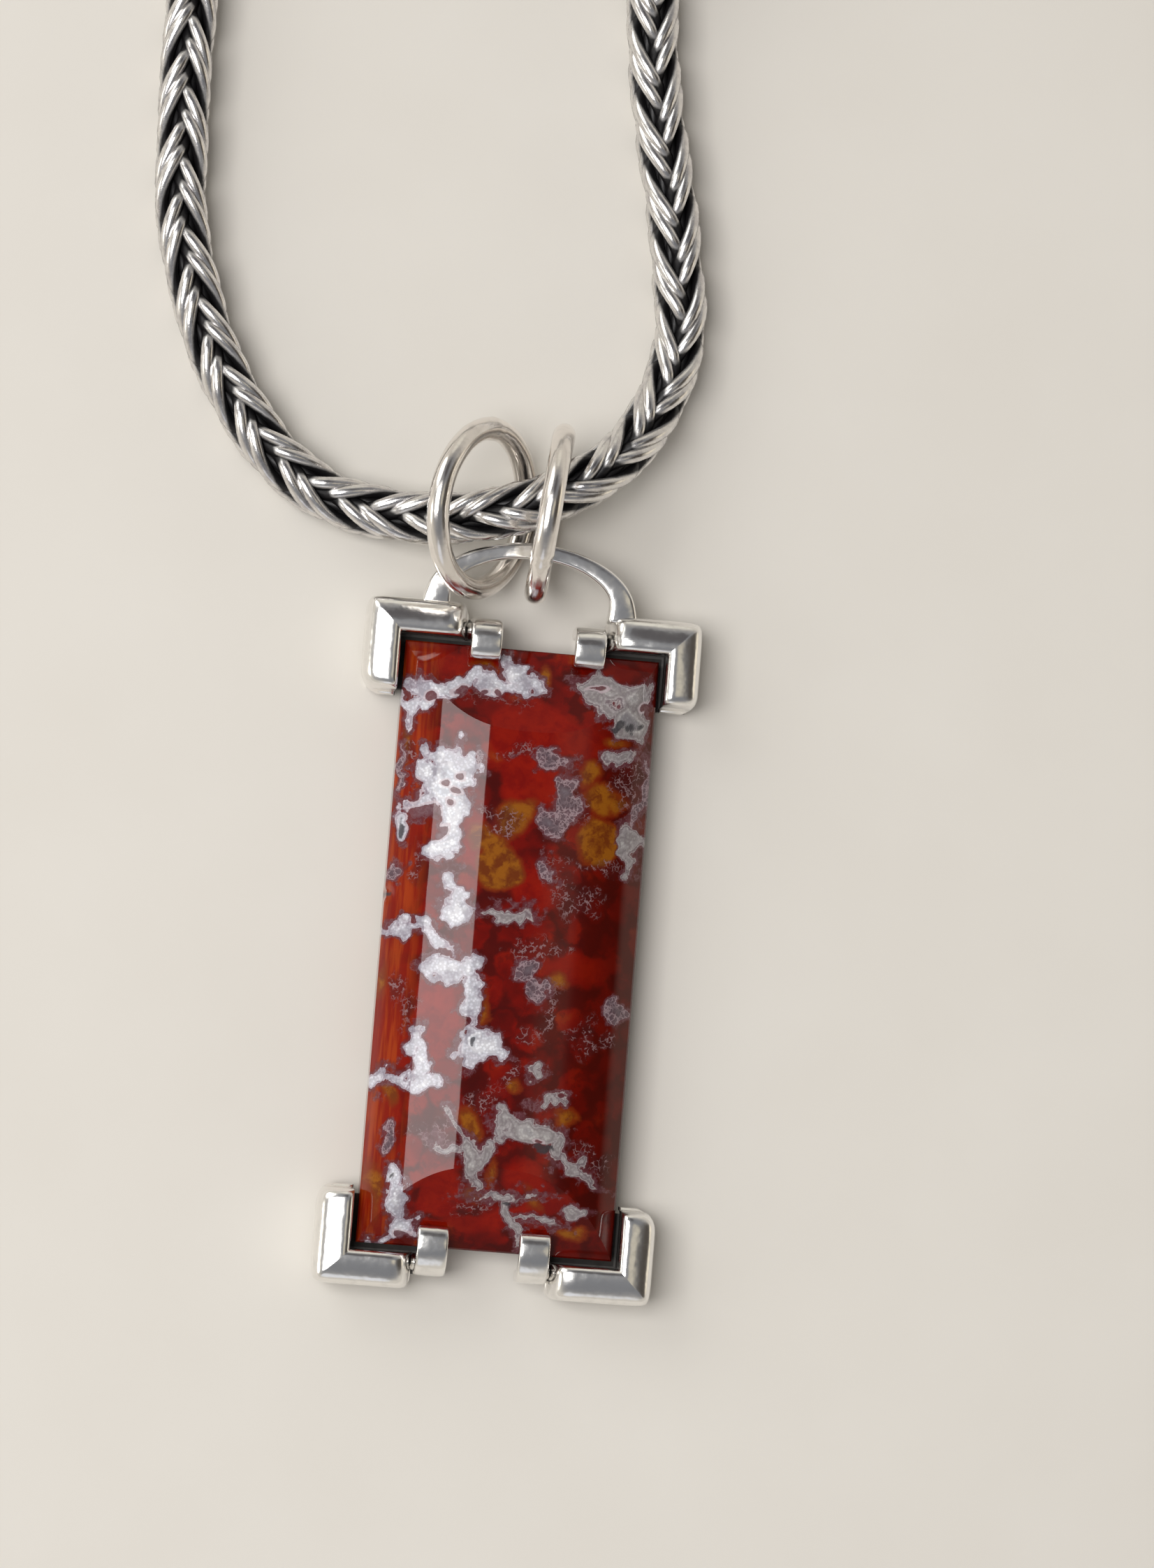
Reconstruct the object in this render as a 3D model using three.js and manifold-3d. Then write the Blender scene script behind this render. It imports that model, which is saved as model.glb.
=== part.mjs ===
// Agate pendant: a long vaulted stone in a silver four-corner setting, hung by an arched bail
// and two jump rings on a woven silver chain. It lies on its back, as it would on a table.
// Millimetres, +Z up out of the stone's face, +Y along the stone towards the bail.

import * as THREE from 'three';
import { mergeVertices } from 'three/addons/utils/BufferGeometryUtils.js';
import Module from 'manifold-3d';

const wasm = await Module();
wasm.setup();

// Driving dimensions. Places in the plane are measured from the middle of the stone.

const stone = {
  width: 17.4,
  length: 40.9,
  girdle: 2.2,        // height of the upright wall
  rise: 2.5,          // height of the vault above the girdle
  roundness: 2.7,     // power of the vault's curve: 2 is a parabola, more is flatter on top
  endFacet: 5.7,      // length of the sloping flat at each end, on the middle line
  chamfer: 0.3,
};

const backFrame = {
  thickness: 0.9,
  edgeInset: 0.5,
  stripWidth: 2.3,
  earOut: 1.9,        // how far an ear stands out under its bracket, beyond the bracket's inner wall
  earInner: 3.2,      // where an ear begins, from the middle line, hidden under the claw
  earAlong: 3.2,      // how far an ear runs along the stone's side
};

const bracket = {
  width: 2.45,
  height: 3.7,
  gapSide: 0.38,      // dark gap between the stone's long edge and the bracket
  gapEnd: 0.45,       // the same at the stone's short edge
  outerRound: 1.05,   // how far down the outer edge is rounded
  outerRoundAcross: 0.8,
  crest: 0.22,        // place of the highest line, as a share of the width from the inner wall
  backFall: 0.18,     // how much the back falls from the highest line to the outer edge
  footChamfer: 0.3,
  endRound: 1.9,      // length over which an arm's end curves down
  lipHeight: 0.85,
  lipLength: 0.4,
  lipStep: 0.35,      // height of the small upright between the lip and the curve above it
  lipFall: 0.15,      // how much the lip slopes down to its edge
  cornerRadius: 0.6,
  endRadius: 1.1,
};

// Handmade corners: each has its own arm along the stone's end and along its side.
const corners = [
  { name: 'corner_top_right', side: 1, end: 1, armAcross: 6.6, armAlong: 6.2 },
  { name: 'corner_top_left', side: -1, end: 1, armAcross: 7.1, armAlong: 6.6 },
  { name: 'corner_bottom_left', side: -1, end: -1, armAcross: 6.8, armAlong: 6.7 },
  { name: 'corner_bottom_right', side: 1, end: -1, armAcross: 7.1, armAlong: 6.6 },
];

const claw = {
  width: 2.15,
  thickness: 0.9,
  reachOut: 1.95,     // how far its outer face stands beyond the stone's edge
  top: 4.75,          // height of its flat back above the table
  bendHeight: 1.05,   // how far below its top the strip starts to bend over
  bendReach: 0.6,     // how far in from its outer face the bend ends
  tipFall: 0.35,      // how much the back falls at the tip
  tipThickness: 0.25,
  edgeBevel: 0.15,
  gapToBracket: 0.05,
  overlapTop: 0.9,    // how far it reaches over the stone's upper end
  overlapBottom: 1.5,
  gapToStone: 0.2,
  beadRadius: 0.75,
  beadReachOut: 1.15,
};

const bail = {
  middleX: -0.5,
  outerHalfSpan: 7.3,
  outerHeight: 4.4,
  innerHalfSpan: 5.65,
  innerHeight: 3.3,
  bottom: 2.8,
  thickness: 1.2,
  edgeBevel: 0.2,
  sunk: 0.6,          // how far the drawn feet run on before the brackets' wall cuts them
  gussetLow: 1.35,    // the solder under each foot starts this high on the bracket's wall
  gussetReach: 1.4,
};

const jumpRing = { radius: 5.45, wire: 0.775, floorClearance: 0.02 };
const jumpRings = [
  // lean: turn of the ring's long axis from +Y towards +X; tilt: its plane from level, left side up
  { name: 'jump_ring_left', x: -4.38, y: 29.59, lean: 7.35, tilt: 53.7 },
  { name: 'jump_ring_right', x: 0.12, y: 29.52, lean: 5.55, tilt: 85.5 },
];

const chain = { radius: 1.95, sides: 8, steps: 66 };

// The route of the chain's middle line, from the clasp's hook cap, down the left, through the
// two rings, up the right and onto the coil. It rises where the rings' wire passes under it.
const chainRoute = [
  [-27.9, 68.1, 2.35], [-27.3, 65.6, 2.2], [-26.9, 63.0, 2.0], [-26.9, 58.1, 2.0], [-26.7, 53.3, 2.0],
  [-26.4, 48.5, 2.0], [-25.2, 43.8, 2.0], [-23.4, 39.1, 2.0], [-20.8, 34.9, 2.0], [-18.4, 32.2, 2.0],
  [-15.7, 30.3, 2.0], [-13.3, 29.4, 2.1], [-10.9, 29.0, 2.5], [-8.5, 28.8, 3.2], [-6.2, 28.9, 4.0],
  [-3.9, 29.3, 4.7], [-1.6, 30.0, 5.0], [0.7, 31.1, 5.0], [3.1, 32.6, 4.7], [5.2, 34.6, 3.8],
  [6.7, 37.0, 2.9], [7.8, 39.6, 2.3], [8.35, 42.2, 2.0], [8.4, 44.7, 2.0], [8.0, 47.1, 2.0],
  [7.2, 51.9, 2.0], [6.1, 56.7, 2.0], [5.2, 61.5, 2.0], [4.7, 66.3, 2.1], [4.6, 70.0, 3.0],
  [4.65, 73.5, 4.7], [4.75, 77.0, 6.1], [4.85, 80.5, 6.35], [4.9, 88.0, 6.3], [4.9, 95.0, 6.3],
];

// Two and a half flat turns of the same chain, wound beside each other.
const coil = { x: -9.0, y: 101.0, innerRadius: 13.9, pitch: 4.1, turns: 2.5, height: 4.0, edge: 1.1 };

// Hook-and-eye clasp between the chain's two ends, in a row that leaves the hook cap's mouth.
const clasp = {
  x: -27.9, y: 68.1, angle: 106.25,
  axisHeight: 2.35,
  capRadius: 2.3, capLength: 4.6, capDome: 1.2, capFlat: 0.7,
  hookWire: 0.5, hookDrop: 1.3, hookReturn: 1.7,
  eyeRadius: 2.2, eyeWire: 0.55, eyeNearRim: 9.2,
  rowLength: 18.2,
  chainGap: 0.3,
};

const silver = new THREE.MeshStandardMaterial({ color: 0xd6d2cb, roughness: 0.18, metalness: 1 });
const wovenSilver = new THREE.MeshStandardMaterial({ color: 0x8f8b86, roughness: 0.32, metalness: 1 });
const agate = new THREE.MeshStandardMaterial({ color: 0x7d1710, roughness: 0.12, metalness: 0 });

const beyond = 60;      // a length past every piece, for bars that only cut

// From one closed three.js geometry to a solid that can be joined and cut, and back.
function solidOf(geometry) {
  const bare = geometry.clone();
  bare.deleteAttribute('normal');
  bare.deleteAttribute('uv');
  const merged = mergeVertices(bare, 1e-4);
  return new wasm.Manifold(new wasm.Mesh({
    numProp: 3,
    vertProperties: merged.attributes.position.array,
    triVerts: merged.index.array,
  }));
}

function geometryOf(solid) {
  const result = solid.getMesh();
  const geometry = new THREE.BufferGeometry();
  geometry.setAttribute('position', new THREE.BufferAttribute(result.vertProperties, 3));
  geometry.setIndex(new THREE.BufferAttribute(result.triVerts, 1));
  geometry.computeVertexNormals();
  return geometry;
}

function outline(points) {
  return new THREE.Shape(points.map(([x, y]) => new THREE.Vector2(x, y)));
}

// A straight bar of a flat outline: [y, z] points drawn along X, [x, z] along Y, [x, y] along Z.
function barAlongX(points, from, to, options = {}) {
  const depth = to - from;
  const geometry = new THREE.ExtrudeGeometry(outline(points), { depth, bevelEnabled: false, ...options });
  const turn = new THREE.Matrix4().makeBasis(
    new THREE.Vector3(0, 1, 0), new THREE.Vector3(0, 0, 1), new THREE.Vector3(1, 0, 0));
  return geometry.applyMatrix4(turn).translate(from, 0, 0);
}

function barAlongY(points, from, to) {
  const turned = points.map(([x, z]) => [z, x]);
  const geometry = new THREE.ExtrudeGeometry(outline(turned), { depth: to - from, bevelEnabled: false });
  const turn = new THREE.Matrix4().makeBasis(
    new THREE.Vector3(0, 0, 1), new THREE.Vector3(1, 0, 0), new THREE.Vector3(0, 1, 0));
  return geometry.applyMatrix4(turn).translate(0, from, 0);
}

function barAlongZ(shape, from, to, options = {}) {
  const geometry = new THREE.ExtrudeGeometry(shape, { depth: to - from, bevelEnabled: false, ...options });
  return geometry.translate(0, 0, from);
}

// Points on a quarter or part of an ellipse, ends included.
function arcPoints(cx, cy, rx, ry, fromDeg, toDeg, steps) {
  return Array.from({ length: steps + 1 }, (_, i) => {
    const angle = THREE.MathUtils.degToRad(fromDeg + ((toDeg - fromDeg) * i) / steps);
    return [cx + rx * Math.cos(angle), cy + ry * Math.sin(angle)];
  });
}

function piece(name, geometry, material) {
  const mesh = new THREE.Mesh(geometry, material);
  mesh.name = name;
  return mesh;
}

// The stone is where a long vault and a bar with sloping ends meet: that makes the curved hips.
function makeStone() {
  const { width, length, girdle, rise, roundness, endFacet, chamfer } = stone;
  const base = backFrame.thickness;
  const shoulder = base + girdle;
  const vaultSteps = 30;
  const vault = Array.from({ length: vaultSteps + 1 }, (_, i) => {
    const across = Math.cos((Math.PI * i) / vaultSteps);
    return [(across * width) / 2, shoulder + rise * (1 - Math.abs(across) ** roundness)];
  });
  const acrossOutline = [
    [-width / 2, base + chamfer], [-width / 2 + chamfer, base],
    [width / 2 - chamfer, base], [width / 2, base + chamfer], ...vault,
  ];
  const clear = 0.6;
  const slopeRun = (endFacet * (rise + clear)) / rise;
  const alongOutline = [
    [-length / 2, base + chamfer], [-length / 2 + chamfer, base],
    [length / 2 - chamfer, base], [length / 2, base + chamfer], [length / 2, shoulder],
    [length / 2 - slopeRun, shoulder + rise + clear], [-length / 2 + slopeRun, shoulder + rise + clear],
    [-length / 2, shoulder],
  ];
  const vaulted = solidOf(barAlongY(acrossOutline, -beyond, beyond));
  const sloped = solidOf(barAlongX(alongOutline, -beyond, beyond));
  return piece('agate_stone', geometryOf(vaulted.intersect(sloped)), agate);
}

// Flat strips under the stone's edge, with an L-shaped ear under each corner bracket.
function makeBackFrame() {
  const { thickness, edgeInset, stripWidth, earOut, earInner } = backFrame;
  const x = stone.width / 2 - edgeInset;
  const y = stone.length / 2 - edgeInset;
  const earX = stone.width / 2 + bracket.gapSide + earOut;
  const earY = stone.length / 2 + claw.reachOut;
  const earLow = stone.length / 2 - backFrame.earAlong;
  const quarter = [[earInner, y], [earInner, earY], [earX, earY], [earX, earLow], [x, earLow]];
  const lower = quarter.map(([px, py]) => [px, -py]).reverse();
  const right = [...quarter, ...lower];
  const left = right.map(([px, py]) => [-px, -py]);
  const shape = outline([...right, ...left].reverse());
  const holeX = x - stripWidth;
  const holeY = y - stripWidth;
  shape.holes.push(new THREE.Path([
    new THREE.Vector2(-holeX, -holeY), new THREE.Vector2(-holeX, holeY),
    new THREE.Vector2(holeX, holeY), new THREE.Vector2(holeX, -holeY),
  ]));
  return piece('back_frame', barAlongZ(shape, 0, thickness), silver);
}

// Section of a bracket arm: square inside, highest near its inner wall, then a back that falls
// gently to a well rounded outer edge.
function armSection() {
  const { width, height, outerRound, outerRoundAcross, crest, backFall, footChamfer } = bracket;
  const outerEdge = arcPoints(
    width - outerRoundAcross, height - outerRound, outerRoundAcross, outerRound - backFall, 0, 90, 5);
  const innerEdge = [[0.17, 0.05], [0.05, 0.25], [0, 0.5]].map(([inward, drop]) => [inward, height - drop]);
  return [
    [0, 0], [width - footChamfer, 0], [width, footChamfer],
    ...outerEdge, [width * crest, height], ...innerEdge,
  ];
}

// What is taken off an arm whose tip is at `tip`, seen from its side: its back curves down to a lip.
function tipCutter(tip) {
  const { height, endRound, lipHeight, lipLength, lipStep, lipFall } = bracket;
  const foot = lipHeight + lipStep;
  const clear = 1;
  return [
    [tip - clear, lipHeight - lipFall], [tip, lipHeight - lipFall], [tip + lipLength * 0.9, lipHeight],
    ...arcPoints(tip + endRound, foot, endRound - lipLength, height - foot + 0.02, 180, 90, 5),
    [tip + endRound, height + clear], [tip - clear, height + clear],
  ];
}

// A bracket with its inner corner at 0, 0 and its arms along -X and -Y: a bar of the arm's
// section with three stations, its middle one set on the diagonal, so the corner is mitred.
function bracketGeometry(armX, armY) {
  const { width, cornerRadius, endRadius } = bracket;
  const tipX = width - armX;
  const tipY = width - armY;
  const bar = new THREE.ExtrudeGeometry(outline(armSection()), { depth: 2, steps: 2, bevelEnabled: false });
  const points = bar.attributes.position;
  for (let i = 0; i < points.count; i += 1) {
    const across = points.getX(i);
    const up = points.getY(i);
    const station = Math.round(points.getZ(i));
    const place = [[tipX, across], [across, across], [across, tipY]][station];
    points.setXYZ(i, place[0], place[1], up);
  }
  const plan = outline([
    [0, 0], [0, tipY],
    ...arcPoints(width - endRadius, tipY + endRadius, endRadius, endRadius, -90, 0, 4),
    ...arcPoints(width - cornerRadius, width - cornerRadius, cornerRadius, cornerRadius, 0, 90, 3),
    ...arcPoints(tipX + endRadius, width - endRadius, endRadius, endRadius, 90, 180, 4),
    [tipX, 0],
  ]);
  return geometryOf(solidOf(bar)
    .intersect(solidOf(barAlongZ(plan, -beyond, beyond)))
    .subtract(solidOf(barAlongY(tipCutter(tipX), -beyond, beyond)))
    .subtract(solidOf(barAlongX(tipCutter(tipY), -beyond, beyond))));
}

function makeCorners() {
  const quarterTurns = { '1,1': 0, '-1,1': 1, '-1,-1': 2, '1,-1': 3 };
  return corners.map(({ name, side, end, armAcross, armAlong }) => {
    const turns = quarterTurns[`${side},${end}`];
    const geometry = turns % 2 === 0
      ? bracketGeometry(armAcross, armAlong)
      : bracketGeometry(armAlong, armAcross);
    const mesh = piece(name, geometry, silver);
    mesh.position.set(
      side * (stone.width / 2 + bracket.gapSide),
      end * (stone.length / 2 + bracket.gapEnd),
      backFrame.thickness);
    mesh.rotation.z = (turns * Math.PI) / 2;
    return mesh;
  });
}

// A strip that stands up beyond the stone's edge and bends over it, with the bead of solder
// that joins it to the end of the bracket's arm beside it.
function makeClaws() {
  const base = backFrame.thickness;
  return corners.map(({ name, side, end, armAcross }) => {
    const overlap = end > 0 ? claw.overlapTop : claw.overlapBottom;
    const edge = stone.length / 2;
    const slope = stone.rise / stone.endFacet;
    const under = base + stone.girdle + claw.gapToStone;
    const { reachOut, thickness, top, bendHeight, bendReach, tipFall, tipThickness } = claw;
    const tipUnder = under + slope * overlap;
    const sideView = [
      [reachOut - thickness, base], [reachOut, base], [reachOut, top - bendHeight],
      [reachOut - bendReach * 0.25, top - bendHeight * 0.57], [reachOut - bendReach, top - bendHeight * 0.11],
      [0.5, top], [0.45 - overlap, top - 0.08],
      [0.05 - overlap, top - tipFall], [-overlap, tipUnder + tipThickness], [0.05 - overlap, tipUnder],
      [0, under + 0.05], [0.6, under - 0.05], [reachOut - thickness, under - 0.5],
    ].map(([out, z]) => [end * (edge + out), z]);
    const armEnd = stone.width / 2 + bracket.gapSide + bracket.width - armAcross;
    const near = armEnd - claw.gapToBracket;
    const span = [side * near, side * (near - claw.width)].sort((a, b) => a - b);
    const bevel = claw.edgeBevel;
    const strip = solidOf(barAlongX(sideView, span[0] + bevel, span[1] - bevel, {
      bevelEnabled: true, bevelThickness: bevel, bevelSize: bevel, bevelOffset: -bevel, bevelSegments: 1,
    }));
    const bead = new THREE.SphereGeometry(claw.beadRadius, 12, 8)
      .translate(side * near, end * (edge + claw.beadReachOut), base + claw.beadRadius);
    const half = [side * (near - claw.width), side * armEnd].sort((a, b) => a - b);
    const slab = outline([[half[0], -beyond], [half[1], -beyond], [half[1], beyond], [half[0], beyond]]);
    const trimmed = solidOf(bead).intersect(solidOf(barAlongZ(slab, base, beyond)));
    return piece(name.replace('corner', 'claw'), geometryOf(strip.add(trimmed)), silver);
  });
}

// A flat arch of squarish wire whose two feet end on the upper brackets' outer faces, each on a
// small gusset of solder, because a bracket's wall is rounded away above its lower half.
function makeBail() {
  const { middleX, outerHalfSpan, outerHeight, innerHalfSpan, innerHeight } = bail;
  const { bottom, thickness, edgeBevel, sunk, gussetLow, gussetReach } = bail;
  const footY = stone.length / 2 + bracket.gapEnd + bracket.width;
  const arcSteps = 26;
  const outer = arcPoints(middleX, footY, outerHalfSpan, outerHeight, 0, 180, arcSteps);
  const inner = arcPoints(middleX, footY, innerHalfSpan, innerHeight, 180, 0, arcSteps);
  const shape = outline([
    [middleX + outerHalfSpan, footY - sunk], ...outer, [middleX - outerHalfSpan, footY - sunk],
    [middleX - innerHalfSpan, footY - sunk], ...inner, [middleX + innerHalfSpan, footY - sunk],
  ]);
  const top = bottom + thickness - edgeBevel;
  const arch = solidOf(barAlongZ(shape, bottom + edgeBevel, top, {
    bevelEnabled: true,
    bevelThickness: edgeBevel,
    bevelSize: edgeBevel,
    bevelOffset: -edgeBevel,
    bevelSegments: 2,
  }));
  const outside = outline([[-beyond, footY], [beyond, footY], [beyond, beyond], [-beyond, beyond]]);
  const gusset = solidOf(barAlongX([
    [footY, gussetLow], [footY + gussetReach, bottom + edgeBevel], [footY + gussetReach, top], [footY, top],
  ], -beyond, beyond)).intersect(solidOf(barAlongZ(shape, 0, top)));
  const trimmed = arch.intersect(solidOf(barAlongZ(outside, 0, beyond)));
  return piece('bail', geometryOf(trimmed.add(gusset)), silver);
}

function makeJumpRings() {
  return jumpRings.map(({ name, x, y, lean, tilt }) => {
    const leanRad = THREE.MathUtils.degToRad(lean);
    const tiltRad = THREE.MathUtils.degToRad(tilt);
    const long = new THREE.Vector3(Math.sin(leanRad), Math.cos(leanRad), 0);
    const across = new THREE.Vector3(-long.y, long.x, 0).multiplyScalar(Math.cos(tiltRad));
    const rising = across.add(new THREE.Vector3(0, 0, Math.sin(tiltRad)));
    const normal = new THREE.Vector3().crossVectors(long, rising);
    const mesh = piece(name, new THREE.TorusGeometry(jumpRing.radius, jumpRing.wire, 10, 44), silver);
    mesh.quaternion.setFromRotationMatrix(new THREE.Matrix4().makeBasis(long, rising, normal));
    const height = jumpRing.wire + jumpRing.radius * Math.sin(tiltRad) + jumpRing.floorClearance;
    mesh.position.set(x, y, height);
    return mesh;
  });
}

function roundSection(radius, sides) {
  return outline(Array.from({ length: sides }, (_, i) => {
    const angle = (2 * Math.PI * (i + 0.5)) / sides;
    return [radius * Math.cos(angle), radius * Math.sin(angle)];
  }));
}

function tubeAlong(points, radius, sides, steps) {
  const places = points.map((point) => new THREE.Vector3(...point));
  const extrudePath = new THREE.CatmullRomCurve3(places, false, 'centripetal');
  return new THREE.ExtrudeGeometry(roundSection(radius, sides), { steps, bevelEnabled: false, extrudePath });
}

function makeChain() {
  const direction = THREE.MathUtils.degToRad(clasp.angle);
  const start = [
    chainRoute[0][0] - clasp.chainGap * Math.cos(direction),
    chainRoute[0][1] - clasp.chainGap * Math.sin(direction),
    chainRoute[0][2],
  ];
  const route = [start, ...chainRoute.slice(1)];
  return piece('chain', tubeAlong(route, chain.radius, chain.sides, chain.steps), wovenSilver);
}

function makeCoil() {
  const inner = coil.innerRadius - chain.radius;
  const outer = coil.innerRadius + coil.pitch * coil.turns + chain.radius;
  const { height, edge } = coil;
  const profile = [
    [inner, edge], [inner + edge, 0], [outer - edge, 0], [outer, edge], [outer, height - edge],
    [outer - edge, height], [inner + edge, height], [inner, height - edge], [inner, edge],
  ].map(([r, z]) => new THREE.Vector2(r, z));
  const geometry = new THREE.LatheGeometry(profile, 56).rotateX(Math.PI / 2);
  const mesh = piece('chain_coil', geometry, wovenSilver);
  mesh.position.set(coil.x, coil.y, 0);
  return mesh;
}

// A round cap along +X from its flat mouth at 0 to its dome.
function capGeometry() {
  const { capRadius, capLength, capDome, capFlat } = clasp;
  const dome = arcPoints(capFlat, capLength - capDome, capRadius - capFlat, capDome, 0, 90, 4);
  const profile = [
    [0, 0], [capRadius, 0], ...dome, [0, capLength],
  ].map(([r, x]) => new THREE.Vector2(r, x));
  return new THREE.LatheGeometry(profile, 20).rotateZ(-Math.PI / 2);
}

function makeClaspHook() {
  const { axisHeight, capLength, hookWire, hookDrop, hookReturn, eyeNearRim } = clasp;
  const top = axisHeight + hookDrop;
  const low = axisHeight - hookDrop;
  const bend = [60, 30, 0, -30, -60].map((deg) => {
    const angle = THREE.MathUtils.degToRad(deg);
    return [eyeNearRim + hookDrop * Math.cos(angle), 0, axisHeight + hookDrop * Math.sin(angle)];
  });
  const wire = tubeAlong([
    [capLength - 0.8, 0, axisHeight], [capLength + 0.4, 0, axisHeight + 0.15],
    [capLength + 1.6, 0, top - 0.3], [capLength + 2.6, 0, top], [eyeNearRim, 0, top],
    ...bend, [eyeNearRim, 0, low], [eyeNearRim - hookReturn, 0, low],
  ], hookWire, 8, 30);
  const cap = capGeometry().translate(0, 0, axisHeight);
  return piece('clasp_hook', geometryOf(solidOf(cap).add(solidOf(wire))), silver);
}

function makeClaspEye() {
  const { axisHeight, eyeNearRim, eyeRadius, eyeWire, rowLength } = clasp;
  const eye = new THREE.TorusGeometry(eyeRadius, eyeWire, 8, 24);
  eye.translate(eyeNearRim + eyeRadius, 0, axisHeight);
  const cap = capGeometry().rotateZ(Math.PI).translate(rowLength, 0, axisHeight);
  return piece('clasp_eye', geometryOf(solidOf(cap).add(solidOf(eye))), silver);
}

function makeClasp() {
  const row = new THREE.Group();
  row.position.set(clasp.x, clasp.y, 0);
  row.rotation.z = THREE.MathUtils.degToRad(clasp.angle);
  row.add(makeClaspHook(), makeClaspEye());
  return row;
}

const pendant = new THREE.Group();
pendant.add(makeStone(), makeBackFrame(), ...makeCorners(), ...makeClaws(), makeBail(), ...makeJumpRings());

// The origin is on the table under the middle of the pendant and its rings.
const box = new THREE.Box3().setFromObject(pendant, true);
const middle = box.getCenter(new THREE.Vector3());

const necklace = new THREE.Group();
necklace.add(pendant, makeChain(), makeCoil(), makeClasp());
necklace.position.set(-middle.x, -middle.y, 0);

export default necklace;
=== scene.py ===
# %% [markdown]
# # An agate pendant on a woven silver chain
# A long polished stone sits in four silver corners and four claws. An arched bail and two jump
# rings hang it on a chain woven from doubled wires. The construction model gives every place:
# this lesson makes the surfaces that the eye meets, one piece and one finish at a time.

# %% Load the frame
import math

import bmesh
import bpy
import numpy as np
from mathutils import Matrix, Vector


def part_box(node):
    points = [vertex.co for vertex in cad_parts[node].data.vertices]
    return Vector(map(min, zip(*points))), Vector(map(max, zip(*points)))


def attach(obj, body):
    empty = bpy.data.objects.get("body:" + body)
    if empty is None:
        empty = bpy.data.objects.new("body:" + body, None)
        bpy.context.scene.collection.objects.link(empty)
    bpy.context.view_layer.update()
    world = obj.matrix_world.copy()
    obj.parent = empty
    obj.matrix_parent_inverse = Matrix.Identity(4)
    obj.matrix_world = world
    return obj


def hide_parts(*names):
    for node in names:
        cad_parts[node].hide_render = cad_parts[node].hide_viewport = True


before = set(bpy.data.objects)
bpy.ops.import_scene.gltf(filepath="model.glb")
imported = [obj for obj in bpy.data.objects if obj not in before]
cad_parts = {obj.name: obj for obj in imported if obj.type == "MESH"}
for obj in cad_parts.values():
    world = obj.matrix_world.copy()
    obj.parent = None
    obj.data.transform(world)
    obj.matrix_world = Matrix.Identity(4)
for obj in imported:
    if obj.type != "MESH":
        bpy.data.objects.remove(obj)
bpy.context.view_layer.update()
mm = 0.001
stone_low, stone_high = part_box("agate_stone")
stone_middle = (Vector(stone_low) + Vector(stone_high)) / 2
print("nodes:", len(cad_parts), "stone at", [round(v / mm, 2) for v in stone_middle])

# %% [markdown]
# All drawing below is in millimetres from the middle of the stone, with z up from the floor,
# because a jeweller measures that way. One function turns such a point into the frame's metres.


# %% Places in millimetres
def at(x, y, z=0.0):
    return Vector((stone_middle.x + x * mm, stone_middle.y + y * mm, z * mm))


def points_at(points):
    """The same for an array of points."""
    return np.asarray(points, float) * mm + np.array([stone_middle.x, stone_middle.y, 0.0])


# %% [markdown]
# ## Camera
# The camera looks almost straight down from about a third of a metre, rolled a few degrees, so
# the pendant leans as it lies. The focal length is the image's own, in pixels, made into a lens.

# %% Camera
image_height_px = 2244
focal_px = 6720
sensor_mm = 36.0
camera_place = (-28.0, -9.4, 320.72)
camera_target = (3.754, 11.671, 3.0)
roll = math.radians(4.65)

camera_data = bpy.data.cameras.new("camera")
camera_data.sensor_width = sensor_mm
camera_data.lens = sensor_mm * focal_px / image_height_px
camera_data.clip_start = 0.01
camera = bpy.data.objects.new("camera", camera_data)
bpy.context.scene.collection.objects.link(camera)
back = (at(*camera_place) - at(*camera_target)).normalized()
upward = Vector((-math.sin(roll), math.cos(roll), 0.0))
upward = (upward - back * upward.dot(back)).normalized()
across = upward.cross(back)
turned = Matrix((across, upward, back)).transposed().to_4x4()
camera.matrix_world = Matrix.Translation(at(*camera_place)) @ turned
bpy.context.scene.camera = camera
print("lens", round(camera_data.lens, 1), "mm")

# %% [markdown]
# ## Shader maths
# A material is a small program. Wrapping a socket in a class with Python's operators lets the
# program be written as an expression, and every other node comes from one method.


# %% Sockets as values
cell_softness = 0.25  # how far rounded cells melt into each other


class Wire:
    """One output socket that can be used in sums."""

    def __init__(self, recipe, socket):
        self.recipe = recipe
        self.socket = socket

    def math(self, operation, *others):
        values = dict(enumerate((self, *others)))
        return self.recipe.node("ShaderNodeMath", {"operation": operation}, values)

    def __add__(self, other):
        return self.math("ADD", other)

    def __sub__(self, other):
        return self.math("SUBTRACT", other)

    def __rsub__(self, other):
        return self.recipe.node("ShaderNodeMath", {"operation": "SUBTRACT"}, {0: other, 1: self})

    def __mul__(self, other):
        return self.math("MULTIPLY", other)

    __radd__ = __add__
    __rmul__ = __mul__

    def above(self, level, width):
        """0 below level, 1 at level + width, with a soft step between."""
        settings = {"interpolation_type": "SMOOTHSTEP"}
        return self.recipe.node("ShaderNodeMapRange", settings, {0: self, 1: level, 2: level + width})

    def larger(self, other):
        return self.math("MAXIMUM", other)


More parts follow.
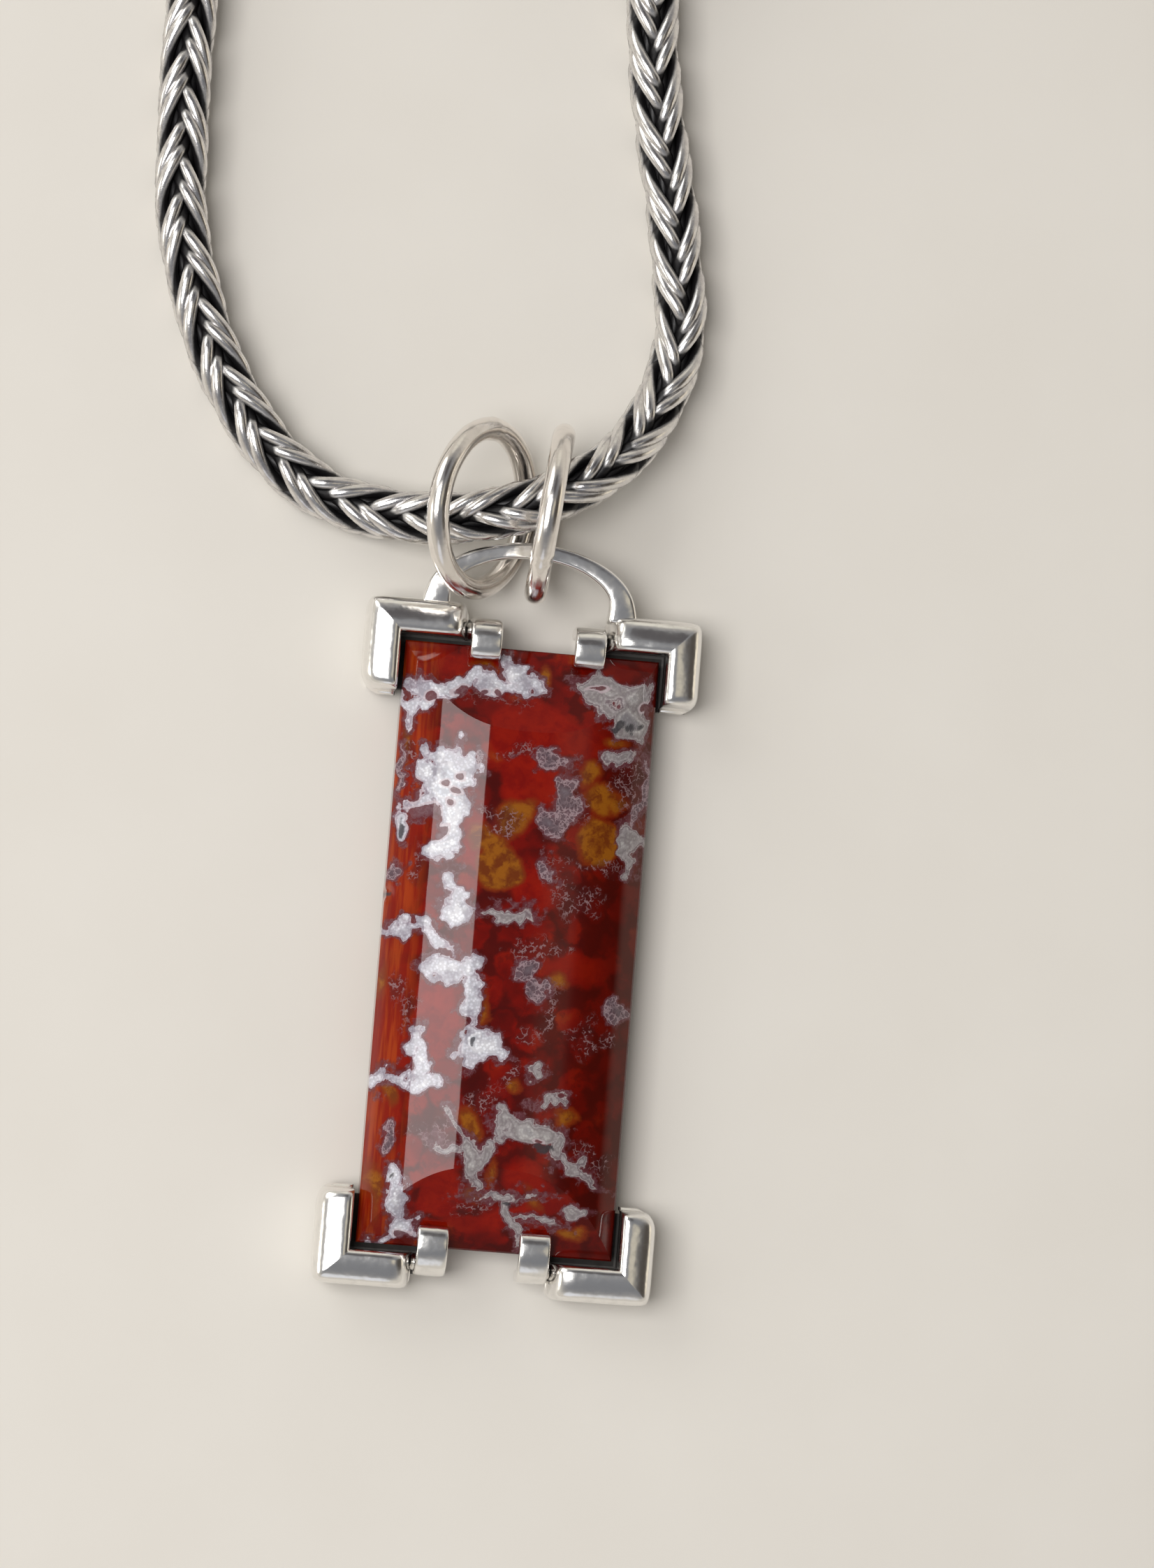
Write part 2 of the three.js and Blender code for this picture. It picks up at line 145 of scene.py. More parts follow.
class Recipe:
    """A material, or the light of a room, under construction."""

    def __init__(self, name, shelf=bpy.data.materials):
        self.material = shelf.new(name)
        self.material.use_nodes = True
        self.tree = self.material.node_tree
        self.tree.nodes.clear()

    def node(self, kind, settings=None, values=None, output=0):
        made = self.tree.nodes.new(kind)
        for key, value in (settings or {}).items():
            if key == "stops":
                self.set_stops(made.color_ramp, value)
            else:
                setattr(made, key, value)
        for key, value in (values or {}).items():
            if isinstance(value, Wire):
                self.tree.links.new(value.socket, made.inputs[key])
            else:
                made.inputs[key].default_value = value
        return None if output is None else Wire(self, made.outputs[output])

    def set_stops(self, ramp, stops):
        while len(ramp.elements) < len(stops):
            ramp.elements.new(1.0)
        for element, (place, colour) in zip(ramp.elements, stops):
            element.position = place
            element.color = (*colour, 1.0)

    def mix(self, factor, first, second, blend="MIX"):
        settings = {"data_type": "RGBA", "blend_type": blend}
        first = first if isinstance(first, Wire) else (*first, 1.0)
        second = second if isinstance(second, Wire) else (*second, 1.0)
        return self.node("ShaderNodeMix", settings, {0: factor, 6: first, 7: second}, output=2)

    def place_mm(self):
        """Place on the piece in millimetres from the stone's middle, with z up from the floor."""
        raw = self.node("ShaderNodeTexCoord", output="Object")
        origin = (stone_middle.x, stone_middle.y, 0.0)
        moved = self.node("ShaderNodeVectorMath", {"operation": "SUBTRACT"}, {0: raw, 1: origin})
        return self.node("ShaderNodeVectorMath", {"operation": "SCALE"}, {0: moved, "Scale": 1 / mm})

    def noise(self, place, scale, detail=2.0, roughness=0.5, colour=False):
        values = {"Vector": place, "Scale": scale, "Detail": detail, "Roughness": roughness}
        return self.node("ShaderNodeTexNoise", None, values, output=1 if colour else 0)

    def cells(self, place, scale, feature="F1"):
        """How far each place is from the middle, or from the edge, of its cell."""
        values = {"Vector": place, "Scale": scale}
        if feature == "SMOOTH_F1":
            values["Smoothness"] = cell_softness
        return self.node("ShaderNodeTexVoronoi", {"feature": feature}, values, output="Distance")

    def shifted(self, place, scale, amount, detail=2.0):
        """The place pushed about by a colour noise, so that what is drawn there is uneven."""
        push = self.noise(place, scale, detail, colour=True)
        centred = self.node("ShaderNodeVectorMath", {"operation": "SUBTRACT"}, {0: push, 1: (0.5, 0.5, 0.5)})
        scaled = self.node("ShaderNodeVectorMath", {"operation": "SCALE"}, {0: centred, "Scale": amount})
        return self.node("ShaderNodeVectorMath", {"operation": "ADD"}, {0: place, 1: scaled})

    def bump(self, height, distance_mm):
        values = {"Height": height, "Distance": distance_mm * mm, "Strength": 1.0}
        return self.node("ShaderNodeBump", None, values)

    def carried(self, name):
        """A number that each vertex of the mesh carries."""
        return self.node("ShaderNodeAttribute", {"attribute_name": name}, output=2)

    def finish(self, surface, **plain):
        """Ends the recipe in one Principled shader and hands over the material."""
        values = dict(surface)
        values.update({name.replace("_", " "): value for name, value in plain.items()})
        shader = self.node("ShaderNodeBsdfPrincipled", None, values)
        self.node("ShaderNodeOutputMaterial", None, {"Surface": shader}, output=None)
        print("finish", self.material.name, "with", len(self.tree.nodes), "nodes")
        return self.material


# %% [markdown]
# ## Silver
# Worn polished silver is a mirror that is never quite flat: a hammer and a buffing wheel leave
# slow waves, and handling leaves hair scratches. The waves come from the meshes and one wide
# bump, the scratches from a stretched fine noise. Shade is painted in: the colour turns black
# in the gap round the stone and on the frame behind it.


# %% Polished silver
stone_width, stone_length = 17.4, 40.9
# painted shade: how far round the stone the gap is painted black, how high it climbs, and its black
gap_shade_reach, gap_shade_top = 0.40, 3.3  # the black gap round the stone, and how high the black climbs
gap_shade_black, dull_share = (0.022, 0.019, 0.017), 0.80


def make_silver(name, tint, roughness, wave_mm, scratch_mm, piece_shade=0.0):
    recipe = Recipe(name)
    place = recipe.place_mm()
    waves = recipe.noise(place, 0.55, 1.0) + recipe.noise(place, 1.7, 1.0) * 0.3
    stretch = {"operation": "MULTIPLY"}
    along = recipe.node("ShaderNodeVectorMath", stretch, {0: place, 1: (0.9, 9.0, 3.0)})
    athwart = recipe.node("ShaderNodeVectorMath", stretch, {0: place, 1: (11.0, 1.1, 3.0)})
    hairs = recipe.noise(along, 2.0, 3.0) * 0.5 + recipe.noise(athwart, 2.0, 3.0) * 0.5
    cloudy = recipe.noise(place, 1.3, 3.0, 0.6)
    worn = cloudy.above(0.45, 0.3)
    dull = tuple(channel * dull_share for channel in tint)
    colour = recipe.mix(worn * 0.5, tint, dull)
    x_part = recipe.node("ShaderNodeSeparateXYZ", None, {0: place}, output="X").math("ABSOLUTE")
    y_part = recipe.node("ShaderNodeSeparateXYZ", None, {0: place}, output="Y").math("ABSOLUTE")
    z_part = recipe.node("ShaderNodeSeparateXYZ", None, {0: place}, output="Z")
    # painted shade: the colour turns black in the gap round the stone, low down, and all over the frame
    from_stone = (x_part - stone_width / 2).larger(y_part - stone_length / 2)
    gap_shade = (1.0 - from_stone.above(gap_shade_reach, 0.10)) * (1.0 - z_part.above(gap_shade_top, 0.5))
    gap_shade = gap_shade.larger(z_part.above(0.3, 0.4) * piece_shade)
    colour = recipe.mix(gap_shade * 0.93, colour, gap_shade_black)
    rough = roughness + worn * 0.05 + hairs.above(0.55, 0.2) * 0.05 + gap_shade * 0.35
    relief = waves * wave_mm + hairs * scratch_mm
    surface = {
        "Base Color": colour,
        "Roughness": rough,
        "Normal": recipe.bump(relief, 1.0),
    }
    return recipe.finish(surface, Metallic=1.0)


silver = make_silver("polished_silver", (0.91, 0.895, 0.87), 0.17, 0.050, 0.0009)
ring_silver = make_silver("ring_silver", (0.86, 0.82, 0.78), 0.16, 0.03, 0.0012)
# the frame behind the stone gets painted shade all over
frame_silver = make_silver("frame_silver", (0.84, 0.82, 0.79), 0.22, 0.03, 0.004, piece_shade=0.9)


# %% [markdown]
# The woven chain was dipped in an oxidising bath and then buffed. The crests of the wires are
# bright and everything below them is black. Each vertex of the weave carries how high it
# stands, as the attribute crest, and the finish is a ramp on that.


# %% Oxidised woven silver
oxide_black, buffed, smoked = (0.012, 0.011, 0.012), (0.80, 0.78, 0.76), (0.62, 0.60, 0.60)


def make_woven_silver():
    recipe = Recipe("woven_silver")
    place = recipe.place_mm()
    crest = recipe.carried("crest")
    patchy = recipe.noise(place, 1.1, 3.0, 0.6)
    height = crest + (patchy - 0.5) * 0.20
    clean = height.above(0.56, 0.26)
    metallic_colour = recipe.mix(patchy.above(0.4, 0.3), buffed, smoked)
    colour = recipe.mix(clean, oxide_black, metallic_colour)
    scratches = recipe.noise(place, 9.0, 2.0)
    rough = 0.42 - clean * 0.22 + scratches.above(0.5, 0.3) * 0.08
    metal = 0.35 + clean * 0.65
    surface = {
        "Base Color": colour,
        "Roughness": rough,
        "Metallic": metal,
        "Normal": recipe.bump(scratches, 0.005),
    }
    return recipe.finish(surface)


woven_silver = make_woven_silver()

# %% [markdown]
# ## Meshes from arrays
# Most pieces here are lofts: a section carried through stations. One helper turns a stack of
# rings of points into a closed mesh object, smooth except where faces meet at a clear angle.


# %% Loft helper
def new_piece(name, vertices, faces, material, sharp_deg=35.0):
    mesh = bpy.data.meshes.new(name)
    mesh.from_pydata([tuple(v) for v in vertices], [], faces)
    mesh.validate()
    mesh.materials.append(material)
    mesh.shade_smooth()
    shape = bmesh.new()
    shape.from_mesh(mesh)
    bmesh.ops.remove_doubles(shape, verts=shape.verts, dist=1e-7)
    bmesh.ops.recalc_face_normals(shape, faces=shape.faces)
    for edge in shape.edges:
        edge.smooth = not edge.is_manifold or edge.calc_face_angle(0.0) < math.radians(sharp_deg)
    shape.to_mesh(mesh)
    shape.free()
    piece = bpy.data.objects.new(name, mesh)
    bpy.context.scene.collection.objects.link(piece)
    return piece


def loft(rings, closed=False, caps=True):
    """Vertices and faces of a skin over equal rings of points, with a fan over each open end."""
    rings = np.asarray(rings, float)
    count, sides = rings.shape[:2]
    vertices = rings.reshape(-1, 3).tolist()
    faces = []
    for i in range(count if closed else count - 1):
        j = (i + 1) % count
        for k in range(sides):
            m = (k + 1) % sides
            faces.append((i * sides + k, i * sides + m, j * sides + m, j * sides + k))
    if caps and not closed:
        for ring in (0, count - 1):
            middle = len(vertices)
            vertices.append(rings[ring].mean(axis=0).tolist())
            for k in range(sides):
                faces.append((ring * sides + k, ring * sides + (k + 1) % sides, middle))
    return vertices, faces


def settle(piece, body, slot, *nodes):
    """The piece rides on its body and stands for its construction nodes. The slot is not used."""
    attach(piece, body)
    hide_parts(*nodes)
    print(piece.name, len(piece.data.polygons), "faces")
    return piece


# %% [markdown]
# ## The chain's route
# A chain is a fixed length of something limp. It leaves the clasp's hook cap, runs down the left,
# lies over the lower strands of the two rings, turns up the right, and the length that nobody sees
# is put away in a flat coil that ends in the clasp's eye cap. The points are those of the model.

# %% Route of the chain
chain_route = [
    (-27.9, 68.1, 2.35), (-27.3, 65.6, 2.2), (-26.9, 63.0, 2.0), (-26.9, 58.1, 2.0), (-26.7, 53.3, 2.0),
    (-26.4, 48.5, 2.0), (-25.2, 43.8, 2.0), (-23.4, 39.1, 2.0), (-20.8, 34.9, 2.0), (-18.4, 32.2, 2.0),
    (-15.7, 30.3, 2.0), (-13.3, 29.4, 2.1), (-10.9, 29.0, 2.5), (-8.5, 28.8, 3.2), (-6.2, 28.9, 4.0),
    (-3.9, 29.3, 4.7), (-1.6, 30.0, 5.0), (0.7, 31.1, 5.0), (3.1, 32.6, 4.7), (5.2, 34.6, 3.8),
    (6.7, 37.0, 2.9), (7.8, 39.6, 2.3), (8.35, 42.2, 2.0), (8.4, 44.7, 2.0), (8.0, 47.1, 2.0),
    (7.2, 51.9, 2.0), (6.1, 56.7, 2.0), (5.2, 61.5, 2.0), (4.7, 66.3, 2.1), (4.6, 70.0, 3.0),
    (4.65, 73.5, 4.7), (4.75, 77.0, 6.1), (4.85, 80.5, 6.35), (4.9, 88.0, 6.3), (4.9, 95.0, 6.3),
]
coil_middle = (-9.0, 101.0)
coil_inner = 13.9
coil_pitch = 4.1
coil_turns = 2.5
coil_low = 2.05
coil_tail = [(-33.5, 95.0, 2.1), (-33.6, 90.5, 2.2), (-33.0, 85.6, 2.35)]
chain_seen = 30  # the first points of the route, which are finely woven


def coil_points(per_turn=18, descent_deg=70.0):
    made = []
    for i in range(int(coil_turns * per_turn) + 1):
        turn = i / per_turn
        angle = 2 * math.pi * turn
        radius = coil_inner + coil_pitch * turn
        drop = min(1.0, math.degrees(angle) / descent_deg)
        ease = drop * drop * (3 - 2 * drop)
        height = chain_route[-1][2] + (coil_low - chain_route[-1][2]) * ease
        x = coil_middle[0] + radius * math.cos(angle)
        y = coil_middle[1] + radius * math.sin(angle)
        made.append((x, y, height))
    return made


def smooth_line(points, spacing):
    """A Catmull-Rom line through the points, resampled at even spacing."""
    points = np.asarray(points, float)
    padded = np.vstack([2 * points[0] - points[1], points, 2 * points[-1] - points[-2]])
    t = np.linspace(0, 1, 24, endpoint=False)[:, None]
    spans = []
    for a, b, c, d in zip(padded, padded[1:], padded[2:], padded[3:]):
        cubic = (3 * b - a - 3 * c + d) * t**3 + (2 * a - 5 * b + 4 * c - d) * t**2
        spans.append(0.5 * (cubic + (c - a) * t + 2 * b))
    fine = np.vstack([*spans, points[-1:]])
    travelled = np.concatenate([[0], np.cumsum(np.linalg.norm(np.diff(fine, axis=0), axis=1))])
    steps = np.linspace(0, travelled[-1], int(travelled[-1] / spacing) + 1)
    return np.stack([np.interp(steps, travelled, fine[:, i]) for i in range(3)], axis=1), steps


chain_step = 0.5
whole_route = chain_route + coil_points() + coil_tail
centreline, travelled = smooth_line(whole_route, chain_step)
seen_length = smooth_line(chain_route[:chain_seen], chain_step)[1][-1]

# %% [markdown]
# ## The weave
# The chain is a square plait. Four doubled wires wind one way and four the other. Each winds
# once in about 20 mm, lies on top for one quarter of a turn, round one corner of the square, and
# dives under the wires of the other hand for the next. Each face so shows two columns of slanting
# doubled wires that meet in a row of dark pits. All of it is one formula for the radius.

# %% Woven chain
wire_radius = 0.47
lay_length = 19.6
strands_each_way = 4
face_distance = 1.40
squareness = 2.6
sunk_share = 0.38
pair_angle = math.radians(14.5)
dive_sharpness = 2.4  # how briskly a wire goes from the top of the plait to under it
core_radius, core_sides = 0.62, 6


def square_radius(angle):
    power = np.abs(np.cos(angle)) ** squareness + np.abs(np.sin(angle)) ** squareness
    return face_distance * power ** (-1 / squareness)


def line_frames(line):
    along = np.gradient(line, axis=0)
    along /= np.linalg.norm(along, axis=1)[:, None]
    side = np.cross(along, [0.0, 0.0, 1.0])
    side /= np.linalg.norm(side, axis=1)[:, None]
    return along, side, np.cross(side, along)


def wire_rings(line, steps, hand, phase, sides):
    """One wire of the plait along the line: its rings and how high each vertex stands."""
    along, side, upright = line_frames(line)
    angle = hand * 2 * math.pi * steps / lay_length + phase
    over = -hand * np.cos(2 * (angle - math.pi / 4))
    lift = 0.5 + 0.5 * np.tanh(dive_sharpness * over) / math.tanh(dive_sharpness)
    radius = square_radius(angle) * (sunk_share + (1 - sunk_share) * lift)
    middle = line + radius[:, None] * (np.cos(angle)[:, None] * side + np.sin(angle)[:, None] * upright)
    run = np.gradient(middle, axis=0)
    run /= np.linalg.norm(run, axis=1)[:, None]
    outward = middle - line
    outward -= (outward * run).sum(axis=1)[:, None] * run
    outward /= np.linalg.norm(outward, axis=1)[:, None]
    third = np.cross(run, outward)
    turn = 2 * math.pi * np.arange(sides) / sides
    ring = np.cos(turn)[None, :, None] * outward[:, None] + np.sin(turn)[None, :, None] * third[:, None]
    vertices = middle[:, None] + wire_radius * ring
    from_line = vertices - line[:, None]
    x = (from_line * side[:, None]).sum(axis=2)
    y = (from_line * upright[:, None]).sum(axis=2)
    reach = square_radius(np.arctan2(y, x)) + wire_radius
    crest = np.clip((np.hypot(x, y) / reach - 0.5) / 0.5, 0, 1)
    return vertices, crest


def weave(line, steps, sides):
    vertices, faces, crests = [], [], []
    for hand in (1, -1):
        for strand in range(strands_each_way):
            for pair in (-1, 1):
                quarter = 2 * math.pi * strand / strands_each_way
                offset = math.pi / 4 if hand > 0 else 0.0
                rings, crest = wire_rings(line, steps, hand, quarter + offset + pair * pair_angle, sides)
                made, skin = loft(rings)
                faces += [tuple(len(vertices) + k for k in face) for face in skin]
                vertices += made
                crests += crest.reshape(-1).tolist() + [0.0, 0.0]
    turn = 2 * math.pi * np.arange(core_sides) / core_sides
    core = core_radius * np.stack([np.cos(turn), np.sin(turn)], axis=1)
    along, side, upright = line_frames(line[::2])
    tube = line[::2, None] + core[None, :, :1] * side[:, None] + core[None, :, 1:] * upright[:, None]
    made, skin = loft(tube)
    faces += [tuple(len(vertices) + k for k in face) for face in skin]
    vertices += made
    crests += [0.0] * len(made)
    return vertices, faces, crests


def make_chain():
    slack = 0.01
    fine = travelled <= seen_length + slack
    plain = travelled >= seen_length - chain_step - slack
    vertices, faces, crests = weave(centreline[fine], travelled[fine], 8)
    more_vertices, more_faces, more_crests = weave(centreline[plain][::2], travelled[plain][::2], 6)
    faces += [tuple(len(vertices) + k for k in face) for face in more_faces]
    vertices += more_vertices
    mesh = bpy.data.meshes.new("woven_chain")
    mesh.from_pydata(points_at(vertices).tolist(), [], faces)
    mesh.materials.append(woven_silver)
    mesh.shade_smooth()
    crest = mesh.attributes.new("crest", "FLOAT", "POINT")
    crest.data.foreach_set("value", crests + more_crests)
    piece = bpy.data.objects.new("woven_chain", mesh)
    bpy.context.scene.collection.objects.link(piece)
    return settle(piece, "pendant", "woven_silver", "chain", "chain_coil")


woven_chain = make_chain()

# %% [markdown]
# ## The agate's pattern
# The stone is a brecciated jasper: rounded red nodules with mustard ones among them, healed by
# seams of grey and white chalcedony that are banded along their walls. Its markings are drawn as
# a gem cutter would sketch them: a few dozen ovals where the seams and the mustard lie. The mesh
# carries, at each vertex, how deep that place lies inside the nearest oval, and uneven ground is
# made by pushing the places about with noise before the ovals are measured.

# %% Where the seams lie
# each oval: x, y, half width, half height, and its turn in degrees where it has one
markings = {
    "milky": [
        (-6.6, 17.5, 2.1, 0.65, 6), (-4.2, 18.0, 1.9, 0.6, 4), (-2.4, 17.3, 1.7, 0.85),
        (-1.1, 18.7, 0.75, 1.3, 12), (-0.3, 17.5, 1.2, 0.6), (-7.2, 16.6, 0.9, 0.8),
        (-8.2, 15.7, 0.5, 1.2), (-5.4, 12.9, 1.1, 1.2), (-4.5, 11.6, 1.7, 1.3), (-6.4, 11.5, 0.9, 0.9),
        (-5.2, 10.1, 1.5, 1.5), (-4.2, 9.2, 1.1, 1.3), (-4.9, 7.9, 1.0, 1.7), (-5.2, 6.2, 1.1, 1.0, 30),
        (-6.6, 9.3, 0.8, 0.45), (-7.9, 8.2, 0.7, 1.2), (-3.9, 2.6, 0.95, 0.9), (-4.5, 3.7, 0.6, 0.8, 20),
        (-7.4, 0.75, 1.7, 0.4), (-6.0, 1.25, 0.75, 0.75), (-5.2, 0.2, 1.3, 0.45, -25),
        (-4.1, -1.4, 1.5, 0.75), (-2.6, -1.4, 0.8, 0.95), (-2.3, -3.1, 0.55, 1.5, 6),
        (-1.5, -6.3, 1.25, 1.25), (-2.4, -6.8, 0.6, 1.3), (-0.7, -7.2, 0.8, 0.7), (-2.1, -4.9, 0.3, 0.9),
        (-5.6, -7.5, 0.7, 1.4), (-5.2, -8.9, 1.4, 0.7), (-7.0, -9.15, 1.6, 0.34), (-8.3, -9.8, 0.6, 0.8),
        (-6.5, -15.4, 0.85, 0.9), (-6.2, -17.2, 0.85, 1.6), (-5.5, -18.9, 1.2, 0.9, 20),
        (-6.9, -19.9, 0.8, 0.4),
    ],
    "smoky": [
        (5.1, 18.4, 2.1, 0.8), (6.9, 18.1, 1.4, 0.9, -20), (6.9, 16.5, 1.3, 1.4), (7.5, 15.8, 0.8, 1.0),
        (4.9, 17.3, 1.2, 0.7, -25), (6.2, 13.6, 1.0, 0.5, 8), (7.8, 7.6, 0.8, 1.6, 8),
        (-0.9, 2.2, 1.6, 0.45, 10), (1.9, -12.0, 1.8, 0.95, -8), (3.8, -12.9, 0.65, 1.3),
        (5.6, -14.4, 2.1, 0.42, -24), (0.8, -11.6, 0.8, 0.7), (-1.5, -14.6, 0.8, 1.7, 12),
        (-0.5, -13.6, 0.6, 1.4, -35), (1.1, -16.5, 2.1, 0.3, 8), (1.5, -17.7, 0.45, 1.5, 35),
        (2.1, -18.9, 0.45, 0.9, 12), (3.5, -18.2, 1.3, 0.32, -14), (-3.4, -13.4, 1.2, 0.3, -35),
        (3.6, -9.9, 1.1, 0.4, 8), (5.8, -17.4, 0.75, 0.5), (2.3, -8.05, 0.6, 0.35),
        (-2.4, -12.2, 0.3, 1.2, 40),
    ],
    "mauve": [
        (1.2, 12.9, 1.3, 0.6, -8), (2.9, 10.7, 0.85, 1.4), (2.0, 8.7, 0.95, 1.3),
        (2.2, 5.2, 0.5, 0.9, 10), (0.9, -1.0, 0.8, 0.9), (1.9, -2.5, 0.6, 1.0, 30),
        (-3.0, 12.6, 0.3, 0.6), (-8.3, 11.6, 0.4, 1.7), (-8.1, 4.9, 0.45, 0.7), (7.2, -3.6, 0.9, 0.7),
        (8.2, 11.0, 0.4, 2.4), (-7.2, -12.9, 0.6, 0.8),
    ],
    "lace": [
        (2.6, 4.8, 1.0, 1.1), (4.1, 3.6, 1.5, 0.7), (1.1, 0.2, 1.0, 1.2), (-1.6, 8.5, 1.2, 0.5),
        (-0.2, 13.3, 1.3, 0.4), (2.9, -4.2, 0.5, 1.7), (1.9, -2.6, 0.8, 0.9), (5.2, -5.6, 0.5, 1.5),
        (-7.2, -3.0, 0.8, 1.0), (3.6, 9.9, 0.8, 1.0), (-4.4, -12.7, 1.5, 0.5), (0.4, -8.6, 0.5, 1.0),
        (-0.9, -10.3, 1.1, 0.6), (2.8, 0.2, 0.9, 0.5), (4.9, 6.0, 2.0, 0.3), (6.9, -5.6, 0.7, 0.7),
        (-7.4, 13.0, 0.6, 0.6), (-2.2, 16.4, 1.8, 0.3), (6.4, -13.6, 1.2, 0.4, -20),
        (-6.6, 5.0, 0.4, 1.4), (7.3, 12.0, 0.8, 1.6), (-6.4, -5.0, 0.3, 1.0), (-1.2, -17.6, 0.8, 0.4),
        (1.6, -5.6, 0.6, 0.5),
    ],
    "mustard": [
        (-0.5, 8.9, 1.9, 1.0, 38), (-1.2, 5.4, 1.9, 2.0), (-2.3, 7.2, 1.5, 1.1), (5.3, 7.8, 1.9, 2.0),
        (4.4, 12.4, 1.1, 0.9), (5.4, 10.8, 1.7, 1.1), (-3.0, 19.0, 1.4, 0.5), (6.0, 14.8, 0.9, 0.5),
        (-7.9, -16.7, 0.6, 2.4, 4), (-7.3, -10.4, 0.7, 0.9), (0.0, -15.0, 0.45, 1.4, -6),
        (-1.2, -16.7, 0.7, 0.5), (-1.5, -4.2, 0.4, 1.7, 8), (4.3, -10.9, 1.0, 0.7),
        (5.6, -18.9, 1.5, 0.6), (0.7, 18.3, 0.7, 1.1), (-8.4, -2.6, 0.45, 1.5), (-8.0, 13.5, 0.5, 2.2),
        (1.2, -9.2, 0.8, 0.6), (-1.6, -12.0, 0.9, 1.5, 12), (-4.9, -1.9, 0.8, 0.5, 30),
        (3.1, -16.6, 0.4, 1.1, 30), (2.9, -2.0, 0.9, 0.7), (6.8, 10.4, 0.8, 0.7),
    ],
    "blaze": [
        (0.4, 14.6, 3.2, 2.1), (0.4, 11.2, 2.2, 2.6), (3.9, 14.4, 2.4, 1.4), (-3.3, -16.8, 1.7, 1.6),
        (2.4, -15.2, 1.7, 1.2), (4.6, -16.6, 1.6, 0.9), (-7.3, -7.0, 1.5, 1.8), (-4.6, -4.6, 1.9, 3.0),
        (-7.3, -11.4, 0.9, 1.9), (1.3, 4.2, 1.9, 1.6), (-5.9, 19.4, 2.2, 0.8), (4.6, -1.0, 2.4, 1.4),
        (1.4, -17.9, 3.0, 1.0, 20), (-3.2, 6.0, 0.9, 1.4), (-7.4, 4.2, 0.9, 2.6), (-7.2, 12.4, 0.8, 2.4),
    ],
    "pit": [
        (6.3, 15.9, 0.75, 0.35, 20), (7.3, 16.3, 0.3, 0.25), (2.9, -13.3, 0.8, 0.34, -15),
        (-1.6, -6.4, 0.4, 0.34), (1.5, -17.0, 0.7, 0.26, 10), (-7.9, 8.1, 0.34, 0.7),
        (-6.5, -15.6, 0.25, 0.6, 10), (-8.6, 3.1, 0.35, 0.3),
    ],
    "island": [
        (-6.4, 8.3, 0.9, 0.85), (-5.9, 7.6, 0.8, 0.6), (-7.2, 10.2, 0.6, 0.8), (-5.0, 10.9, 0.42, 0.4),
        (-4.3, 10.2, 0.35, 0.3), (-3.9, 11.5, 0.3, 0.3), (-6.9, 16.9, 0.42, 0.42),
        (-5.0, 17.3, 0.5, 0.24), (-3.3, 16.9, 0.35, 0.25), (-2.2, 16.9, 0.3, 0.26),
        (8.1, 17.6, 0.5, 0.3, 40), (4.6, 18.2, 0.5, 0.14, 20), (-6.5, -5.1, 0.55, 0.6),
        (-4.8, 9.3, 0.3, 0.26), (-5.4, -19.6, 0.6, 0.4), (2.6, -12.9, 0.2, 0.16),
    ],
}


# %% Measuring the markings
def cloud(x, y, cell, seed):
    """Soft noise from -1 to 1 with lumps of that size, the same on every run."""
    lattice = np.random.default_rng(seed).uniform(-1, 1, (256, 256))
    u, v = x / cell + 128, y / cell + 128
    i, j = np.floor(u).astype(int), np.floor(v).astype(int)
    s, t = u - i, v - j
    s, t = s * s * (3 - 2 * s), t * t * (3 - 2 * t)
    low = lattice[i, j] * (1 - s) + lattice[i + 1, j] * s
    high = lattice[i, j + 1] * (1 - s) + lattice[i + 1, j + 1] * s
    return low * (1 - t) + high * t


def pushed(x, y, lumps):
    """Places moved by noise: each lump is its size and how far it pushes, in millimetres."""
    moved_x, moved_y = x.copy(), y.copy()
    for number, (cell, push) in enumerate(lumps):
        moved_x += push * cloud(x, y, cell, 2 * number + 11)
        moved_y += push * cloud(x, y, cell, 2 * number + 12)
    return moved_x, moved_y


def depth_inside(x, y, ovals):
    """How deep each place lies inside the nearest oval, in millimetres: negative outside."""
    deepest = np.full(x.shape, -5.0)
    for middle_x, middle_y, half_width, half_height, *turned in ovals:
        turn = math.radians(sum(turned))
        right, up = x - middle_x, y - middle_y
        along = (right * math.cos(turn) + up * math.sin(turn)) / half_width
        over = (up * math.cos(turn) - right * math.sin(turn)) / half_height
        inside = (1 - np.hypot(along, over)) * min(half_width, half_height)
        deepest = np.maximum(deepest, inside)
    return deepest


def carry_markings(mesh):
    """Writes every marking's depth on the mesh's vertices."""
    places = np.empty(len(mesh.vertices) * 3)
    mesh.vertices.foreach_get("co", places)
    places = (places.reshape(-1, 3) - [stone_middle.x, stone_middle.y, 0]) / mm
    rough = pushed(places[:, 0], places[:, 1], [(1.9, 0.55), (0.9, 0.42), (0.42, 0.26), (0.22, 0.10)])
    gentle = pushed(places[:, 0], places[:, 1], [(1.9, 0.45), (0.8, 0.2), (0.3, 0.05)])
    for name, ovals in markings.items():
        where = rough if name in ("milky", "smoky", "mauve", "lace", "pit") else gentle
        depth = mesh.attributes.new(name, "FLOAT", "POINT")
        depth.data.foreach_set("value", depth_inside(*where, ovals))


# %% [markdown]
# ## The agate's colours
# The finish reads those depths. A ramp over the depth draws the walls of a seam as an agate has
# them: a dark fringe, a pale line, a grey band, white, and a blue-grey heart. The red ground
# is a ramp of reds on a soft noise, because the nodules have no outlines of their own, and a
# pattern of rounded cells darkens what lies between them.
# The polish is a plain glossy surface: a gem has little else between its colour and the air.


# %% Agate
def wall_ramp(recipe, depth, colours):
    """Colours at fixed depths under the wall of a seam."""
    levels = (0.0, 0.05, 0.11, 0.19, 0.36, 0.66, 1.0)
    stops = list(zip(levels, colours))
    return recipe.node("ShaderNodeValToRGB", {"stops": stops}, {0: depth})


